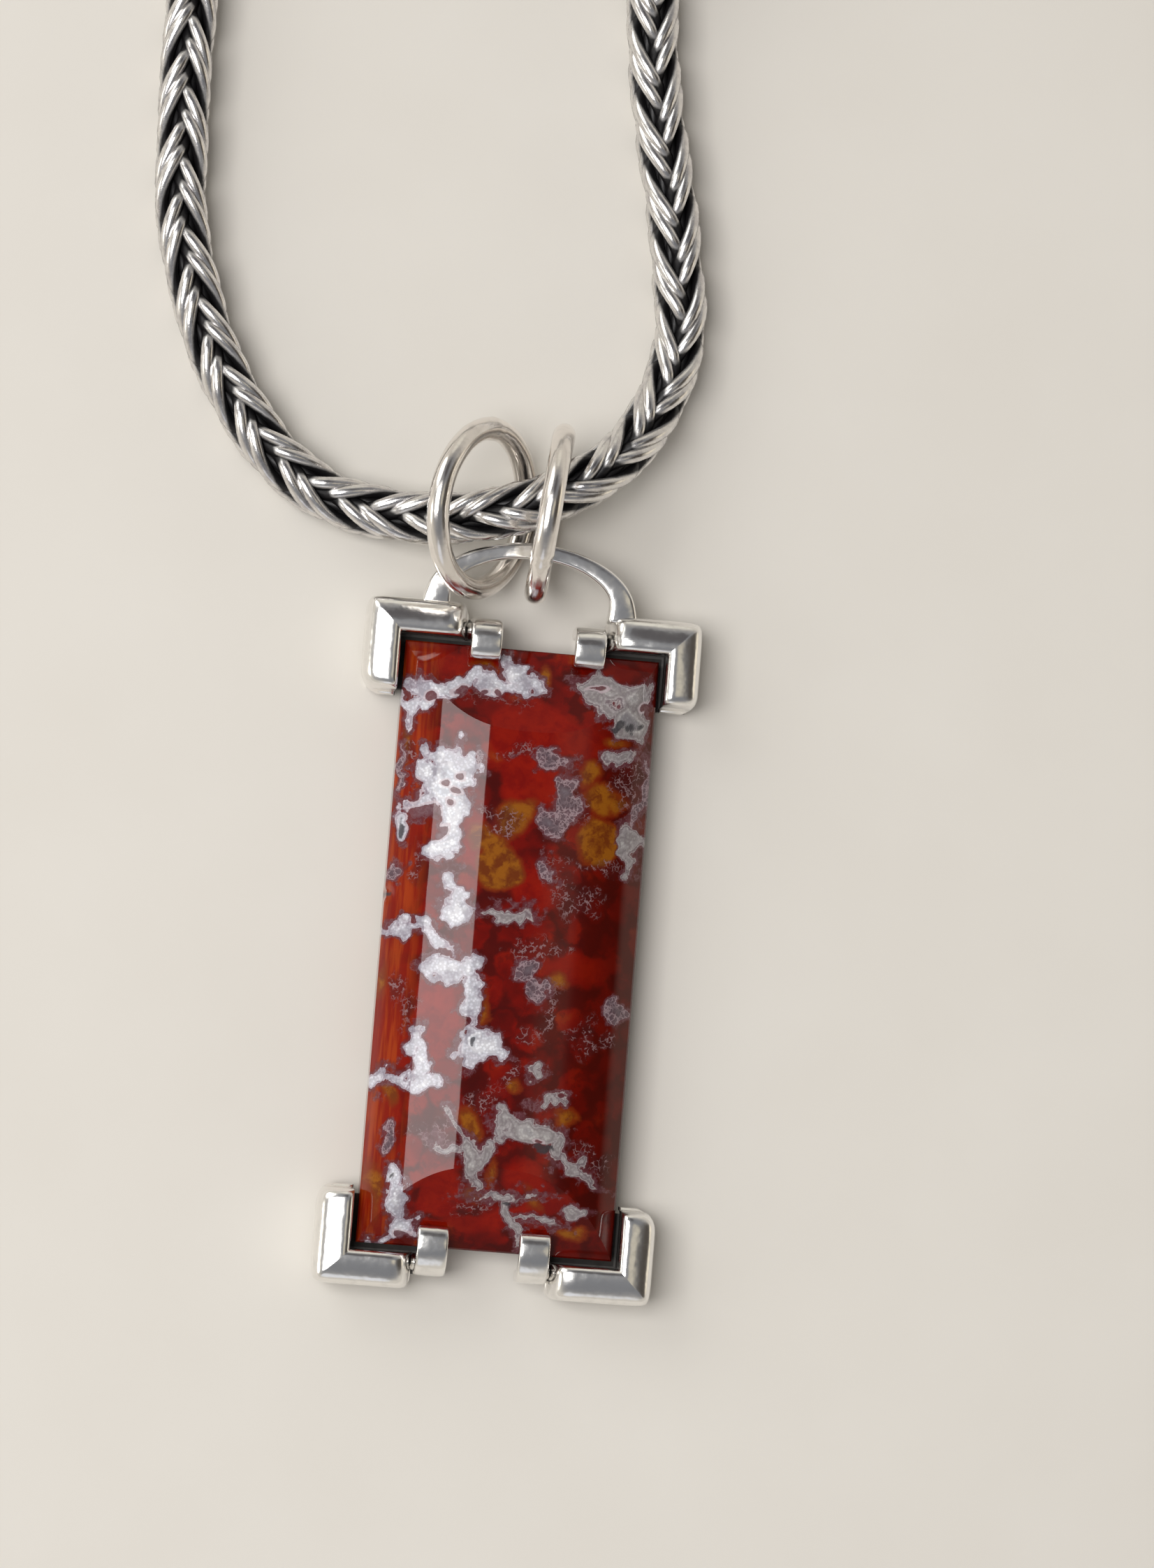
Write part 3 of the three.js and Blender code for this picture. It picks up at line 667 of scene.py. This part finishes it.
def red_ground(recipe, place):
    uneven = recipe.shifted(place, 0.8, 1.5, 4.0)
    blotch = recipe.noise(uneven, 0.42, 2.0, 0.5)
    reds = [
        (0.28, (0.075, 0.0022, 0.0010)), (0.42, (0.120, 0.0026, 0.0008)), (0.52, (0.160, 0.0036, 0.0009)),
        (0.64, (0.195, 0.0070, 0.0012)), (0.76, (0.230, 0.0240, 0.0026)),
    ]
    red = recipe.node("ShaderNodeValToRGB", {"stops": reds}, {0: blotch})
    roundness = recipe.cells(uneven, 0.62, "SMOOTH_F1")
    red = recipe.mix(roundness.above(0.46, 0.24) * 0.74, red, (0.040, 0.0022, 0.0014))
    cloudy = recipe.noise(uneven, 0.9, 4.0, 0.62)
    red = recipe.mix(cloudy.above(0.52, 0.12) * 0.50, red, (0.055, 0.0022, 0.0013))
    blaze = recipe.carried("blaze") + (cloudy - 0.5) * 1.1
    vivid = recipe.mix(cloudy.above(0.35, 0.35), (0.240, 0.0070, 0.0009), (0.175, 0.0026, 0.0007))
    red = recipe.mix(blaze.above(-0.1, 0.5) * 0.85, red, vivid)

    across = recipe.node("ShaderNodeSeparateXYZ", None, {0: place})
    # Painted shade: the red darkens towards the right flank, standing in for the dark room that side
    # reflects.
    right_side_shade = across.above(2.0, 6.5)
    red = recipe.mix(right_side_shade * 0.62, red, (0.050, 0.0030, 0.0012))
    left_flank = 1.0 - across.above(-7.4, 1.8)
    squeezed = recipe.node("ShaderNodeVectorMath", {"operation": "MULTIPLY"}, {0: place, 1: (2.8, 0.2, 1.0)})
    streaks = recipe.noise(squeezed, 1.0, 3.0)
    rusty = recipe.mix(streaks.above(0.42, 0.22), (0.19, 0.0080, 0.0015), (0.30, 0.038, 0.0040))
    return recipe.mix(left_flank * 0.8, red, rusty), cloudy


def make_agate():
    recipe = Recipe("agate")
    place = recipe.place_mm()
    fine = recipe.noise(place, 3.2, 4.0, 0.62)
    grain = (fine - 0.5) * 0.30
    ground, cloudy = red_ground(recipe, place)

    # mustard nodules with an olive heart and a rusty skin
    mustard = recipe.carried("mustard") + grain
    ochre = recipe.mix(cloudy.above(0.42, 0.20), (0.26, 0.086, 0.0060), (0.13, 0.028, 0.0040))
    ground = recipe.mix(mustard.above(-0.1, 0.3) * 0.92, ground, (0.17, 0.022, 0.0030))
    ground = recipe.mix(mustard.above(0.12, 0.35) * 0.9, ground, ochre)

    # lace: fine pale curls in the red near the seams
    milky = recipe.carried("milky") + grain
    smoky = recipe.carried("smoky") + grain
    mauve = recipe.carried("mauve") + grain
    seam = milky.larger(smoky).larger(mauve)
    curls = recipe.cells(recipe.shifted(place, 3.4, 0.5, 2.0), 2.6, "DISTANCE_TO_EDGE")
    thread = 1.0 - curls.above(0.03, 0.09)
    near = recipe.carried("lace").above(-0.25, 0.5).larger(seam.above(-0.34, 0.24) * 0.8)
    broken = recipe.noise(place, 2.1, 3.0).above(0.44, 0.1)
    lace = thread * near * broken
    ground = recipe.mix(near * 0.5, ground, (0.055, 0.010, 0.010))
    ground = recipe.mix(lace * 0.75, ground, (0.27, 0.17, 0.18))
    fringe = (seam + (broken - 0.5) * 0.14).above(-0.30, 0.28)
    ground = recipe.mix(fringe * 0.75, ground, (0.115, 0.038, 0.048))

    # the seams, banded along their walls
    fringe_white = [
        (0.20, 0.11, 0.14), (0.56, 0.50, 0.55), (0.30, 0.25, 0.30), (0.62, 0.60, 0.66),
        (0.56, 0.56, 0.62), (0.82, 0.82, 0.86), (0.60, 0.62, 0.68),
    ]
    fringe_grey = [
        (0.17, 0.10, 0.10), (0.42, 0.37, 0.37), (0.15, 0.11, 0.12), (0.38, 0.35, 0.35),
        (0.23, 0.205, 0.205), (0.44, 0.42, 0.41), (0.24, 0.23, 0.24),
    ]
    fringe_plum = [
        (0.13, 0.055, 0.070), (0.27, 0.18, 0.20), (0.11, 0.052, 0.065), (0.13, 0.075, 0.088),
        (0.085, 0.048, 0.058), (0.12, 0.085, 0.098), (0.19, 0.16, 0.185),
    ]
    swirl = (recipe.noise(place, 0.9, 2.0) - 0.5) * 0.30
    white = wall_ramp(recipe, milky + swirl, fringe_white)
    grey = wall_ramp(recipe, smoky + swirl, fringe_grey)
    plum = wall_ramp(recipe, mauve + swirl, fringe_plum)
    glassy = recipe.noise(recipe.shifted(place, 1.3, 0.8), 0.75, 3.0).above(0.50, 0.12)
    white = recipe.mix(glassy * 0.62, white, (0.27, 0.25, 0.30))
    filling = recipe.mix(milky.above(-0.02, 0.04), grey, white)
    in_plum = (mauve - smoky.larger(milky)).above(-0.02, 0.04)
    filling = recipe.mix(in_plum, filling, plum)
    sugar = recipe.cells(place, 5.0).above(0.25, 0.35)
    filling = recipe.mix(sugar * 0.30, filling, (0.12, 0.09, 0.11))
    speckled = (1.0 - mauve.above(0.15, 0.5)) * in_plum * thread.above(0.1, 0.5)
    filling = recipe.mix(speckled * 0.75, filling, (0.33, 0.24, 0.26))
    islet = recipe.carried("island") + grain * 0.5
    island = islet.above(-0.03, 0.06)
    inside = seam.above(0.0, 0.035) * (1.0 - island * 0.92)
    colour = recipe.mix(inside, ground, filling)
    halo = islet.above(-0.16, 0.06) * (1.0 - island) * inside
    colour = recipe.mix(halo * 0.6, colour, (0.50, 0.40, 0.43))
    pit = (recipe.carried("pit") + grain * 0.8).above(-0.05, 0.16)
    colour = recipe.mix(pit * 0.85, colour, (0.030, 0.028, 0.034))

    rough = 0.035 + inside * 0.02 + pit * 0.1
    ripple = recipe.noise(place, 0.3, 1.0) * 0.010
    surface = {"Base Color": colour, "Roughness": rough, "Normal": recipe.bump(ripple, 1.0)}
    return recipe.finish(surface, IOR=1.545, Specular_IOR_Level=0.25)


agate = make_agate()

# %% [markdown]
# ## The stone
# It is cut as a long vault whose two ends are ground off in sloping flats, so a curved hip runs
# from each corner to the middle. The mesh follows the hip: rows of the vault are squeezed
# between the two hip lines, and more rows cover each flat, so the hip stays a true edge. It is
# fine, about 0.15 mm a face, because its vertices also carry the markings.

# %% Cabochon
stone_base, girdle_height = 0.9, 2.2
vault_rise, vault_power, flat_length = 2.5, 2.7, 5.7
edge_round = 0.11
chip_y, chip_width, chip_reach, chip_depth = 3.1, 0.3, 0.25, 0.2
hip_margin = 0.02  # what each flat keeps of its length at the stone's long edges
foot_height, foot_inset = 0.3, 1.6  # the bevel underneath, in millimetres and in edge rounds


def vault_height(x):
    return vault_rise * (1 - np.abs(2 * x / stone_width) ** vault_power)


def stone_top(columns=128, vault_rows=230, flat_rows=34):
    """The grid of the polished face, from the lower end to the upper one."""
    half_x = stone_width / 2 - edge_round
    half_y = stone_length / 2 - edge_round
    x = np.linspace(-half_x, half_x, columns + 1)
    hip = stone_length / 2 - flat_length * vault_height(x) / vault_rise
    hip = np.minimum(hip, half_y - hip_margin)
    shares = np.linspace(0, 1, flat_rows + 1)[1:]
    upper = [hip + (half_y - hip) * share for share in shares]
    lower = [-row for row in upper[::-1]]
    rows = np.array([*lower, *[hip * share for share in np.linspace(-1, 1, vault_rows)], *upper])
    flat = (stone_length / 2 - np.abs(rows)) * vault_rise / flat_length
    top = np.maximum(np.minimum(vault_height(x)[None, :], flat), 0.0)
    chip = np.exp(-((rows - chip_y) / chip_width) ** 2 - ((x[None, :] + half_x) / chip_reach) ** 2)
    height = stone_base + girdle_height + top - chip_depth * chip
    return np.stack([np.broadcast_to(x, rows.shape), rows, height], axis=2)


def make_stone():
    grid = stone_top()
    count_y, count_x = grid.shape[:2]
    vertices = grid.reshape(-1, 3).tolist()
    faces = [
        (j * count_x + i, j * count_x + i + 1, (j + 1) * count_x + i + 1, (j + 1) * count_x + i)
        for j in range(count_y - 1)
        for i in range(count_x - 1)
    ]
    rim = [(0, i) for i in range(count_x)] + [(j, count_x - 1) for j in range(1, count_y)]
    rim += [(count_y - 1, i) for i in range(count_x - 2, -1, -1)]
    rim += [(j, 0) for j in range(count_y - 2, 0, -1)]
    edge = np.array([grid[j, i] for j, i in rim])
    half_x, half_y = grid[0, -1, 0], grid[-1, 0, 1]
    outward_x = np.sign(edge[:, 0]) * (np.abs(edge[:, 0]) > half_x - 1e-6)
    outward_y = np.sign(edge[:, 1]) * (np.abs(edge[:, 1]) > half_y - 1e-6)
    dent = chip_depth * np.exp(-((edge[:, 1] - chip_y) / chip_width) ** 2) * (outward_x < 0)
    shoulder = stone_base + girdle_height
    previous = [j * count_x + i for j, i in rim]
    # how far each ring stands out, in edge rounds, and its height
    levels = [
        (0.6, shoulder - 0.035), (1.0, shoulder - edge_round),
        (1.0, stone_base + foot_height), (-foot_inset, stone_base),
    ]
    for number, (outward, height) in enumerate(levels):
        chipped = dent * (number < 2)
        start = len(vertices)
        x = edge[:, 0] + outward_x * edge_round * outward + chipped
        y = edge[:, 1] + outward_y * edge_round * outward
        vertices += np.stack([x, y, height - chipped], axis=1).tolist()
        ring = list(range(start, start + len(rim)))
        for k in range(len(rim)):
            m = (k + 1) % len(rim)
            faces.append((previous[m], previous[k], ring[k], ring[m]))
        previous = ring
    faces.append(tuple(previous))
    piece = new_piece("agate_cabochon", points_at(vertices), faces, agate, sharp_deg=9.0)
    carry_markings(piece.data)
    return settle(piece, "pendant", "agate", "agate_stone")


make_stone()

# %% [markdown]
# ## The corner brackets
# Each bracket is one crowned bar with a mitre at its corner. The section is highest near its
# inner wall, falls gently to the outside and turns over into a wall. The mitre is sharp inside
# and rounded outside, and the ends are rounded down to a thin lip. It is a loft, because
# stations can carry one section along an arm, through the diagonal and along the other arm.

# %% Bracket shape
bracket_width, bracket_height, bracket_base = 2.45, 3.7, 0.9
gap_side, gap_end = 0.38, 0.45
corner_round, mitre_round = 0.62, 0.03
arm_start = 0.35  # where the straight part of an arm begins, past the corner
least_reach, tip_lead = 0.5, 0.02
hand_wobble, wobble_above = 0.035, 2.2  # an uneven top, and the height where it begins
bracket_section = [
    (0.0, 0.0), (0.0, 0.6), (0.0, 0.86), (0.02, 0.925), (0.07, 0.968), (0.14, 0.991), (0.22, 1.0),
    (0.34, 0.996), (0.48, 0.981), (0.62, 0.958), (0.74, 0.930), (0.83, 0.895), (0.90, 0.847), (0.95, 0.785),
    (0.985, 0.70), (1.0, 0.60), (1.0, 0.3), (1.0, 0.07), (0.93, 0.0),
]
# along an arm from its tip: distance, share of the full height
leg_tip = [
    (0.0, 0.10), (0.0, 0.19), (0.05, 0.22), (0.20, 0.23), (0.24, 0.30), (0.25, 0.55), (0.27, 0.74),
    (0.32, 0.86), (0.42, 0.935), (0.60, 0.975), (0.90, 0.993), (1.3, 1.0), (2.0, 1.0), (3.0, 1.0),
]
arm_tip = [
    (0.0, 0.10), (0.0, 0.19), (0.05, 0.22), (0.14, 0.23), (0.18, 0.30), (0.20, 0.45), (0.26, 0.62),
    (0.38, 0.76), (0.56, 0.87), (0.82, 0.94), (1.15, 0.98), (1.6, 1.0), (2.2, 1.0), (3.0, 1.0),
]


def bracket_rings(arm_x, arm_y, round_x, round_y):
    """Rings of the bracket with its inner corner at 0, 0 and its arms along -x and -y."""
    section = np.array(bracket_section)
    z = section[:, 1] * bracket_height

    def arm(length, round_radius, place, tip):
        rings = []
        for distance, height in tip:
            reach = bracket_width
            if distance < round_radius:
                reach -= round_radius - math.sqrt(round_radius**2 - (round_radius - distance - tip_lead) ** 2)
            c = section[:, 0] * max(reach, least_reach)
            rings.append(place(c, bracket_width - length + distance, z * height))
        return rings

    def on_x(c, along, z):
        return np.stack([np.broadcast_to(along, c.shape), c, z], axis=1)

    def on_y(c, along, z):
        return np.stack([c, np.broadcast_to(along, c.shape), z], axis=1)

    # the mitre is a sharp line inside and opens into a round corner outside
    c = section[:, 0] * bracket_width
    corner = mitre_round + corner_round * (c / bracket_width) ** 3
    turned_in = c - corner * (1 - math.sqrt(0.5))
    corner_rings = [
        on_x(c, -arm_start, z), on_x(c, c - corner, z),
        np.stack([turned_in, turned_in, z], axis=1),
        on_y(c, c - corner, z), on_y(c, -arm_start, z),
    ]
    across_arm = arm(arm_x, round_x, on_x, arm_tip)
    along_arm = arm(arm_y, round_y, on_y, leg_tip)
    return [*across_arm, *corner_rings, *along_arm[::-1]]


brackets = [
    # name, side, end, arm across, arm along, rounding of the arm's tip, rounding of the leg's tip
    ("corner_top_right", 1, 1, 6.6, 6.2, 0.9, 1.1),
    ("corner_top_left", -1, 1, 7.1, 6.6, 0.9, 1.6),
    ("corner_bottom_left", -1, -1, 6.8, 6.7, 0.8, 1.2),
    ("corner_bottom_right", 1, -1, 7.1, 6.6, 0.7, 1.5),
]


def subdivide(piece, levels):
    modifier = piece.modifiers.new("softer", "SUBSURF")
    modifier.levels = modifier.render_levels = levels


def make_bracket(name, side, end, arm_across, arm_along, round_arm, round_leg):
    rings = np.array(bracket_rings(arm_across, arm_along, round_arm, round_leg))
    vertices, faces = loft(rings)
    vertices = np.array(vertices)
    wobble = np.random.default_rng(len(name) + 7 * side + 3 * end).uniform(0.5, 2.5, 4)
    slow = np.sin(vertices[:, 0] * 0.9 + wobble[0]) * np.sin(vertices[:, 1] * 0.8 + wobble[1])
    vertices[:, 2] += hand_wobble * slow * (vertices[:, 2] > wobble_above)
    vertices *= [side, end, 1]
    vertices += [side * (stone_width / 2 + gap_side), end * (stone_length / 2 + gap_end), bracket_base]
    piece = new_piece(name + "_silver", points_at(vertices), faces, silver, sharp_deg=60.0)
    subdivide(piece, 2)
    return settle(piece, "pendant", "silver", name)


for bracket in brackets:
    make_bracket(*bracket)

# %% [markdown]
# ## The claws
# A claw is a strip of sheet, folded over the stone's edge. Its back is flat or gently bent,
# its sides are filed to bevels, and its tip is pressed down on the stone. A bead of solder
# holds it against the end of the bracket. The strip is a loft along the fold, because a
# folded strip keeps one section all the way, and the bead is a squashed ball beside it.

# %% Claws
claw_width, claw_thickness = 2.15, 0.9
claw_gap = 0.05  # between a claw and the end of its bracket, where the bead sits
bead_size, bead_inward, bead_out, bead_height = (0.36, 0.6, 1.25), 0.02, 1.05, 2.05
tip_thinning = {-2: 0.86, -1: 0.6}  # the last two stations of the fold, filed thinner
top_fold = [
    (1.5, 0.9), (1.5, 2.4), (1.5, 3.2), (1.44, 3.62), (1.27, 3.96), (1.0, 4.18), (0.68, 4.29), (0.35, 4.31),
    (-0.05, 4.28), (-0.35, 4.2), (-0.6, 4.05), (-0.78, 3.86),
]
bottom_fold = [
    (1.5, 0.9), (1.5, 2.2), (1.48, 2.8), (1.38, 3.3), (1.16, 3.72), (0.84, 4.02), (0.42, 4.22), (-0.05, 4.31),
    (-0.5, 4.32), (-0.88, 4.27), (-1.18, 4.15), (-1.38, 4.0),
]


def strip_rings(fold, width, thickness, bevel=0.17):
    fold = np.array(fold)
    run = np.gradient(fold, axis=0)
    run /= np.linalg.norm(run, axis=1)[:, None]
    normal = np.stack([-run[:, 1], run[:, 0]], axis=1) * -1
    half_w, half_t = width / 2, thickness / 2
    low = bevel * 0.6
    corner_in, corner_down, flat_in, crown = bevel * 0.45, bevel * 0.3, bevel * 1.3, 0.02
    section = [
        (-half_w, -half_t + low), (-half_w + low, -half_t), (half_w - low, -half_t), (half_w, -half_t + low),
        (half_w, half_t - bevel), (half_w - corner_in, half_t - corner_down), (half_w - flat_in, half_t),
        (0.0, half_t + crown),
        (-half_w + flat_in, half_t), (-half_w + corner_in, half_t - corner_down), (-half_w, half_t - bevel),
    ]
    rings = []
    for i, (point, out) in enumerate(zip(fold, normal)):
        thin = tip_thinning.get(i - len(fold), 1.0)
        rings.append([(x, point[0] + out[0] * t * thin, point[1] + out[1] * t * thin) for x, t in section])
    return np.array(rings)


def make_claw(name, side, end, arm_across):
    fold = top_fold if end > 0 else bottom_fold
    near = stone_width / 2 + gap_side + bracket_width - arm_across - claw_gap
    rings = strip_rings(fold, claw_width, claw_thickness)
    rings[:, :, 0] += side * (near - claw_width / 2)
    rings[:, :, 1] = end * (stone_length / 2 + rings[:, :, 1])
    vertices, faces = loft(rings)
    piece = new_piece(name + "_silver", points_at(vertices), faces, silver, sharp_deg=60.0)
    shape = bmesh.new()
    shape.from_mesh(piece.data)
    bead_place = at(side * (near - bead_inward), end * (stone_length / 2 + bead_out), bead_height)
    squash = Matrix.Diagonal((*(half * mm for half in bead_size), 1.0))
    bead = Matrix.Translation(bead_place) @ squash
    bmesh.ops.create_icosphere(shape, subdivisions=3, radius=1.0, matrix=bead)
    for face in shape.faces:
        face.smooth = True
    shape.to_mesh(piece.data)
    shape.free()
    subdivide(piece, 2)
    return settle(piece, "pendant", "silver", name)


for bracket_name, side, end, arm_across, _, _, _ in brackets:
    make_claw(bracket_name.replace("corner", "claw"), side, end, arm_across)

# %% [markdown]
# ## The bail
# The bail is squarish wire bent into a low arch. Its flat top keeps a bright line along both
# edges, and its feet are filled out with solder where they meet the brackets. It is a loft
# between an outer and an inner ellipse, because the wire's width then follows from the two.

# %% Bail
bail_middle, bail_foot_y = -0.5, stone_length / 2 + gap_end + bracket_width
bail_outer = (7.3, 4.4)
bail_inner = (5.65, 3.3)
bail_low, bail_high, bail_bevel = 2.8, 4.0, 0.2
foot_sunk, foot_reach = 0.55, 0.9
foot_wider_out, foot_wider_in = 0.16, 0.30
foot_deeper, foot_flatter = 1.35, 0.28


def make_bail():
    rings = []
    for angle in np.linspace(0, math.pi, 61):
        outer = np.array([bail_outer[0] * math.cos(angle), bail_outer[1] * math.sin(angle)])
        inner = np.array([bail_inner[0] * math.cos(angle), bail_inner[1] * math.sin(angle)])
        near_foot = math.exp(-((outer[1] / foot_reach) ** 2))
        step = (outer - inner) / np.linalg.norm(outer - inner)
        outer = outer + step * foot_wider_out * near_foot
        inner = inner - step * foot_wider_in * near_foot
        outer[1] -= foot_sunk * near_foot
        inner[1] -= foot_sunk * near_foot
        low = bail_low - foot_deeper * near_foot
        high = bail_high - foot_flatter * near_foot
        section = [
            (0.0, low + bail_bevel), (bail_bevel, low), (1.0 - bail_bevel, low), (1.0, low + bail_bevel),
            (1.0, high - bail_bevel), (0.93, high - 0.06), (0.82, high), (0.5, high + 0.02),
            (0.18, high), (0.07, high - 0.06), (0.0, high - bail_bevel),
        ]
        ring = []
        for share, z in section:
            point = inner + (outer - inner) * share
            ring.append((bail_middle + point[0], bail_foot_y + point[1], z))
        rings.append(ring)
    vertices, faces = loft(rings)
    piece = new_piece("bail_arch", points_at(vertices), faces, silver, sharp_deg=60.0)
    subdivide(piece, 1)
    return settle(piece, "pendant", "silver", "bail")


make_bail()

# %% [markdown]
# ## The jump rings
# Both rings are round wire, closed with a touch of solder. The left one leans over the chain
# and the right one stands nearly on edge. They swing about their lowest strand, so each
# rides on a body of its own. The solder seam is a slight swelling with a groove beside it,
# so each ring is a loft round a circle, whose wire can be thicker at one place.

# %% Jump rings
ring_radius, ring_wire, ring_clearance = 5.45, 0.775, 0.02
wire_margin = 0.01  # how much thinner the wire is than the model's
seam_swell, seam_width = 0.035, 0.09
groove_depth, groove_beside, groove_width = 0.07, 0.03, 0.018
jump_rings = [
    # name, body, x, y, lean, tilt, seam angle, in degrees
    ("jump_ring_left", "ring_left", -4.38, 29.59, 7.35, 53.7, 12.0),
    ("jump_ring_right", "ring_right", 0.12, 29.52, 5.55, 85.5, 128.0),
]


def make_ring(name, body, x, y, lean_deg, tilt_deg, seam_deg):
    lean, tilt, seam = (math.radians(v) for v in (lean_deg, tilt_deg, seam_deg))
    long_way = np.array([math.sin(lean), math.cos(lean), 0.0])
    level = np.array([-math.cos(lean), math.sin(lean), 0.0])
    rising = level * math.cos(tilt) + np.array([0.0, 0.0, math.sin(tilt)])
    middle = np.array([x, y, ring_wire + ring_radius * math.sin(tilt) + ring_clearance])
    axis = np.cross(long_way, rising)
    rings = []
    for angle in np.linspace(0, 2 * math.pi, 144, endpoint=False):
        out = long_way * math.cos(angle) + rising * math.sin(angle)
        away = (angle - seam + math.pi) % (2 * math.pi) - math.pi
        swell = seam_swell * math.exp(-((away / seam_width) ** 2))
        swell -= groove_depth * math.exp(-(((away - groove_beside) / groove_width) ** 2))
        slow = 0.012 * math.sin(5 * angle + seam) + 0.008 * math.sin(11 * angle)
        section = []
        for turn in np.linspace(0, 2 * math.pi, 20, endpoint=False):
            reach = ring_wire - wire_margin + swell + slow * math.cos(2 * turn)
            outward = math.cos(turn) * out + math.sin(turn) * axis
            section.append(middle + ring_radius * out + reach * outward)
        rings.append(section)
    vertices, faces = loft(rings, closed=True)
    piece = new_piece(name + "_wire", points_at(vertices), faces, ring_silver, sharp_deg=80.0)
    return settle(piece, body, "silver", name)


for jump_ring in jump_rings:
    make_ring(*jump_ring)

# %% [markdown]
# ## Frame and clasp
# The strip frame behind the stone, the hook and the eye keep their construction shape.
# A small bevel breaks their edges so that they catch the light as metal does.


# %% Kept nodes
def polish(node, finish, bevel_mm, sharp_deg):
    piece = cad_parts[node]
    for slot in piece.material_slots:
        slot.material = finish
    bevel = piece.modifiers.new("edge", "BEVEL")
    bevel.width = bevel_mm * mm
    bevel.segments = 3
    bevel.limit_method = "ANGLE"
    bevel.angle_limit = math.radians(sharp_deg)
    bevel.harden_normals = True
    return piece


polish("back_frame", frame_silver, 0.15, 40)
clasp_hook = polish("clasp_hook", silver, 0.08, 50)
clasp_eye = polish("clasp_eye", silver, 0.08, 50)

# %% [markdown]
# ## Where the chain starts
# The chain leaves the hook's cap, and this cell only works out that first point in metres.
# The plait is drawn a little slimmer than the chain's solid, so that the rings clear it wherever they swing.
# The plait is drawn a little slimmer, so that the rings clear it wherever they swing.

tuple(at(*chain_route[0]))

# %% [markdown]
# ## Floor and light
# A plain pale floor carries the pendant. The light is one window above it to the left, whose
# long reflection lies along the stone, and a dim room that keeps the silver's dark side dark.


# %% Floor
floor_half, floor_drop = 900.0, 0.02


def make_floor():
    recipe = Recipe("table")
    place = recipe.place_mm()
    speck = recipe.noise(place, 0.08, 3.0)
    colour = recipe.mix(speck, (0.68, 0.645, 0.59), (0.72, 0.69, 0.64))
    material = recipe.finish({"Base Color": colour}, Roughness=0.75)
    signs = [(-1, -1), (1, -1), (1, 1), (-1, 1)]
    corners = [at(x * floor_half, y * floor_half, -floor_drop) for x, y in signs]
    new_piece("table", corners, [(0, 1, 2, 3)], material)


make_floor()


# %% Lights
def aim(thing, place, target):
    away = (place - target).normalized()
    thing.location = place
    thing.rotation_mode = "QUATERNION"
    thing.rotation_quaternion = away.to_track_quat("Z", "Y")


def make_window(name, azimuth_deg, from_vertical_deg, distance, width, height, power, colour):
    """A rectangular light facing the stone from that direction, in metres and watts."""
    data = bpy.data.lights.new(name, "AREA")
    data.shape = "RECTANGLE"
    data.size, data.size_y = width, height
    data.energy = power
    data.color = colour
    light = bpy.data.objects.new(name, data)
    bpy.context.scene.collection.objects.link(light)
    around, down = math.radians(azimuth_deg), math.radians(from_vertical_deg)
    reach = Vector((math.sin(down) * math.cos(around), math.sin(down) * math.sin(around), math.cos(down)))
    stone_face = at(0, 0, 3)
    aim(light, stone_face + reach * distance, stone_face)


make_window(
    "window",
    azimuth_deg=180.0,
    from_vertical_deg=24.3,
    distance=0.55,
    width=0.30,
    height=0.33,
    power=2.2,
    colour=(1.0, 0.985, 0.97),
)

# %% [markdown]
# ## What the silver mirrors
# Polished silver has hardly a colour of its own: it shows the room. The room could be built of
# lamps and boards, but here it is drawn on the world by direction, which adds no objects and
# casts no hard shadow. Each card is a soft round patch, bright or dark.

# %% Room
# each card: direction from +X in degrees, degrees from vertical, half angle, soft edge, colour
room_cards = [
    (0.0, 22.0, 7.0, 13.0, (0.60, 0.55, 0.45)),
    (0.0, 56.0, 20.0, 18.0, (0.07, 0.060, 0.052)),
    (5.0, 79.0, 11.0, 8.0, (0.95, 0.86, 0.70)),
    (140.0, 60.0, 17.0, 8.0, (2.8, 2.8, 2.7)),
    (190.0, 76.0, 12.0, 8.0, (2.2, 2.15, 2.0)),
    (-95.0, 64.0, 13.0, 9.0, (0.75, 0.76, 0.80)),
    (90.0, 70.0, 12.0, 8.0, (0.75, 0.72, 0.64)),
]
room_low, room_high = (0.62, 0.58, 0.52), (0.19, 0.195, 0.21)
shade_card, shade_colour = (80.0, 30.0, 12.0, 8.0), (0.045, 0.036, 0.036)


def make_room():
    """Light by direction: a dim ceiling, a brighter horizon, and soft cards."""
    recipe = Recipe("room", bpy.data.worlds)
    direction = recipe.node("ShaderNodeTexCoord", output="Generated")
    height = recipe.node("ShaderNodeSeparateXYZ", None, {0: direction}, output="Z")
    colour = recipe.mix(height.above(0.25, 0.62), room_low, room_high)

    def card(around, down, half_angle, soft):
        around, down = math.radians(around), math.radians(down)
        middle = (math.sin(down) * math.cos(around), math.sin(down) * math.sin(around), math.cos(down))
        settings = {"operation": "DOT_PRODUCT"}
        near = recipe.node("ShaderNodeVectorMath", settings, {0: direction, 1: middle}, output="Value")
        outside = math.cos(math.radians(half_angle + soft / 2))
        return near.above(outside, math.cos(math.radians(half_angle - soft / 2)) - outside)

    colour = recipe.mix(card(*shade_card) * 0.75, colour, shade_colour)
    for *where, radiance in room_cards:
        colour = recipe.mix(card(*where), colour, radiance)
    background = recipe.node("ShaderNodeBackground", None, {"Color": colour, "Strength": 1.0})
    recipe.node("ShaderNodeOutputWorld", None, {"Surface": background}, output=None)
    return recipe.material


bpy.context.scene.world = make_room()
bpy.context.scene.view_settings.view_transform = "Standard"
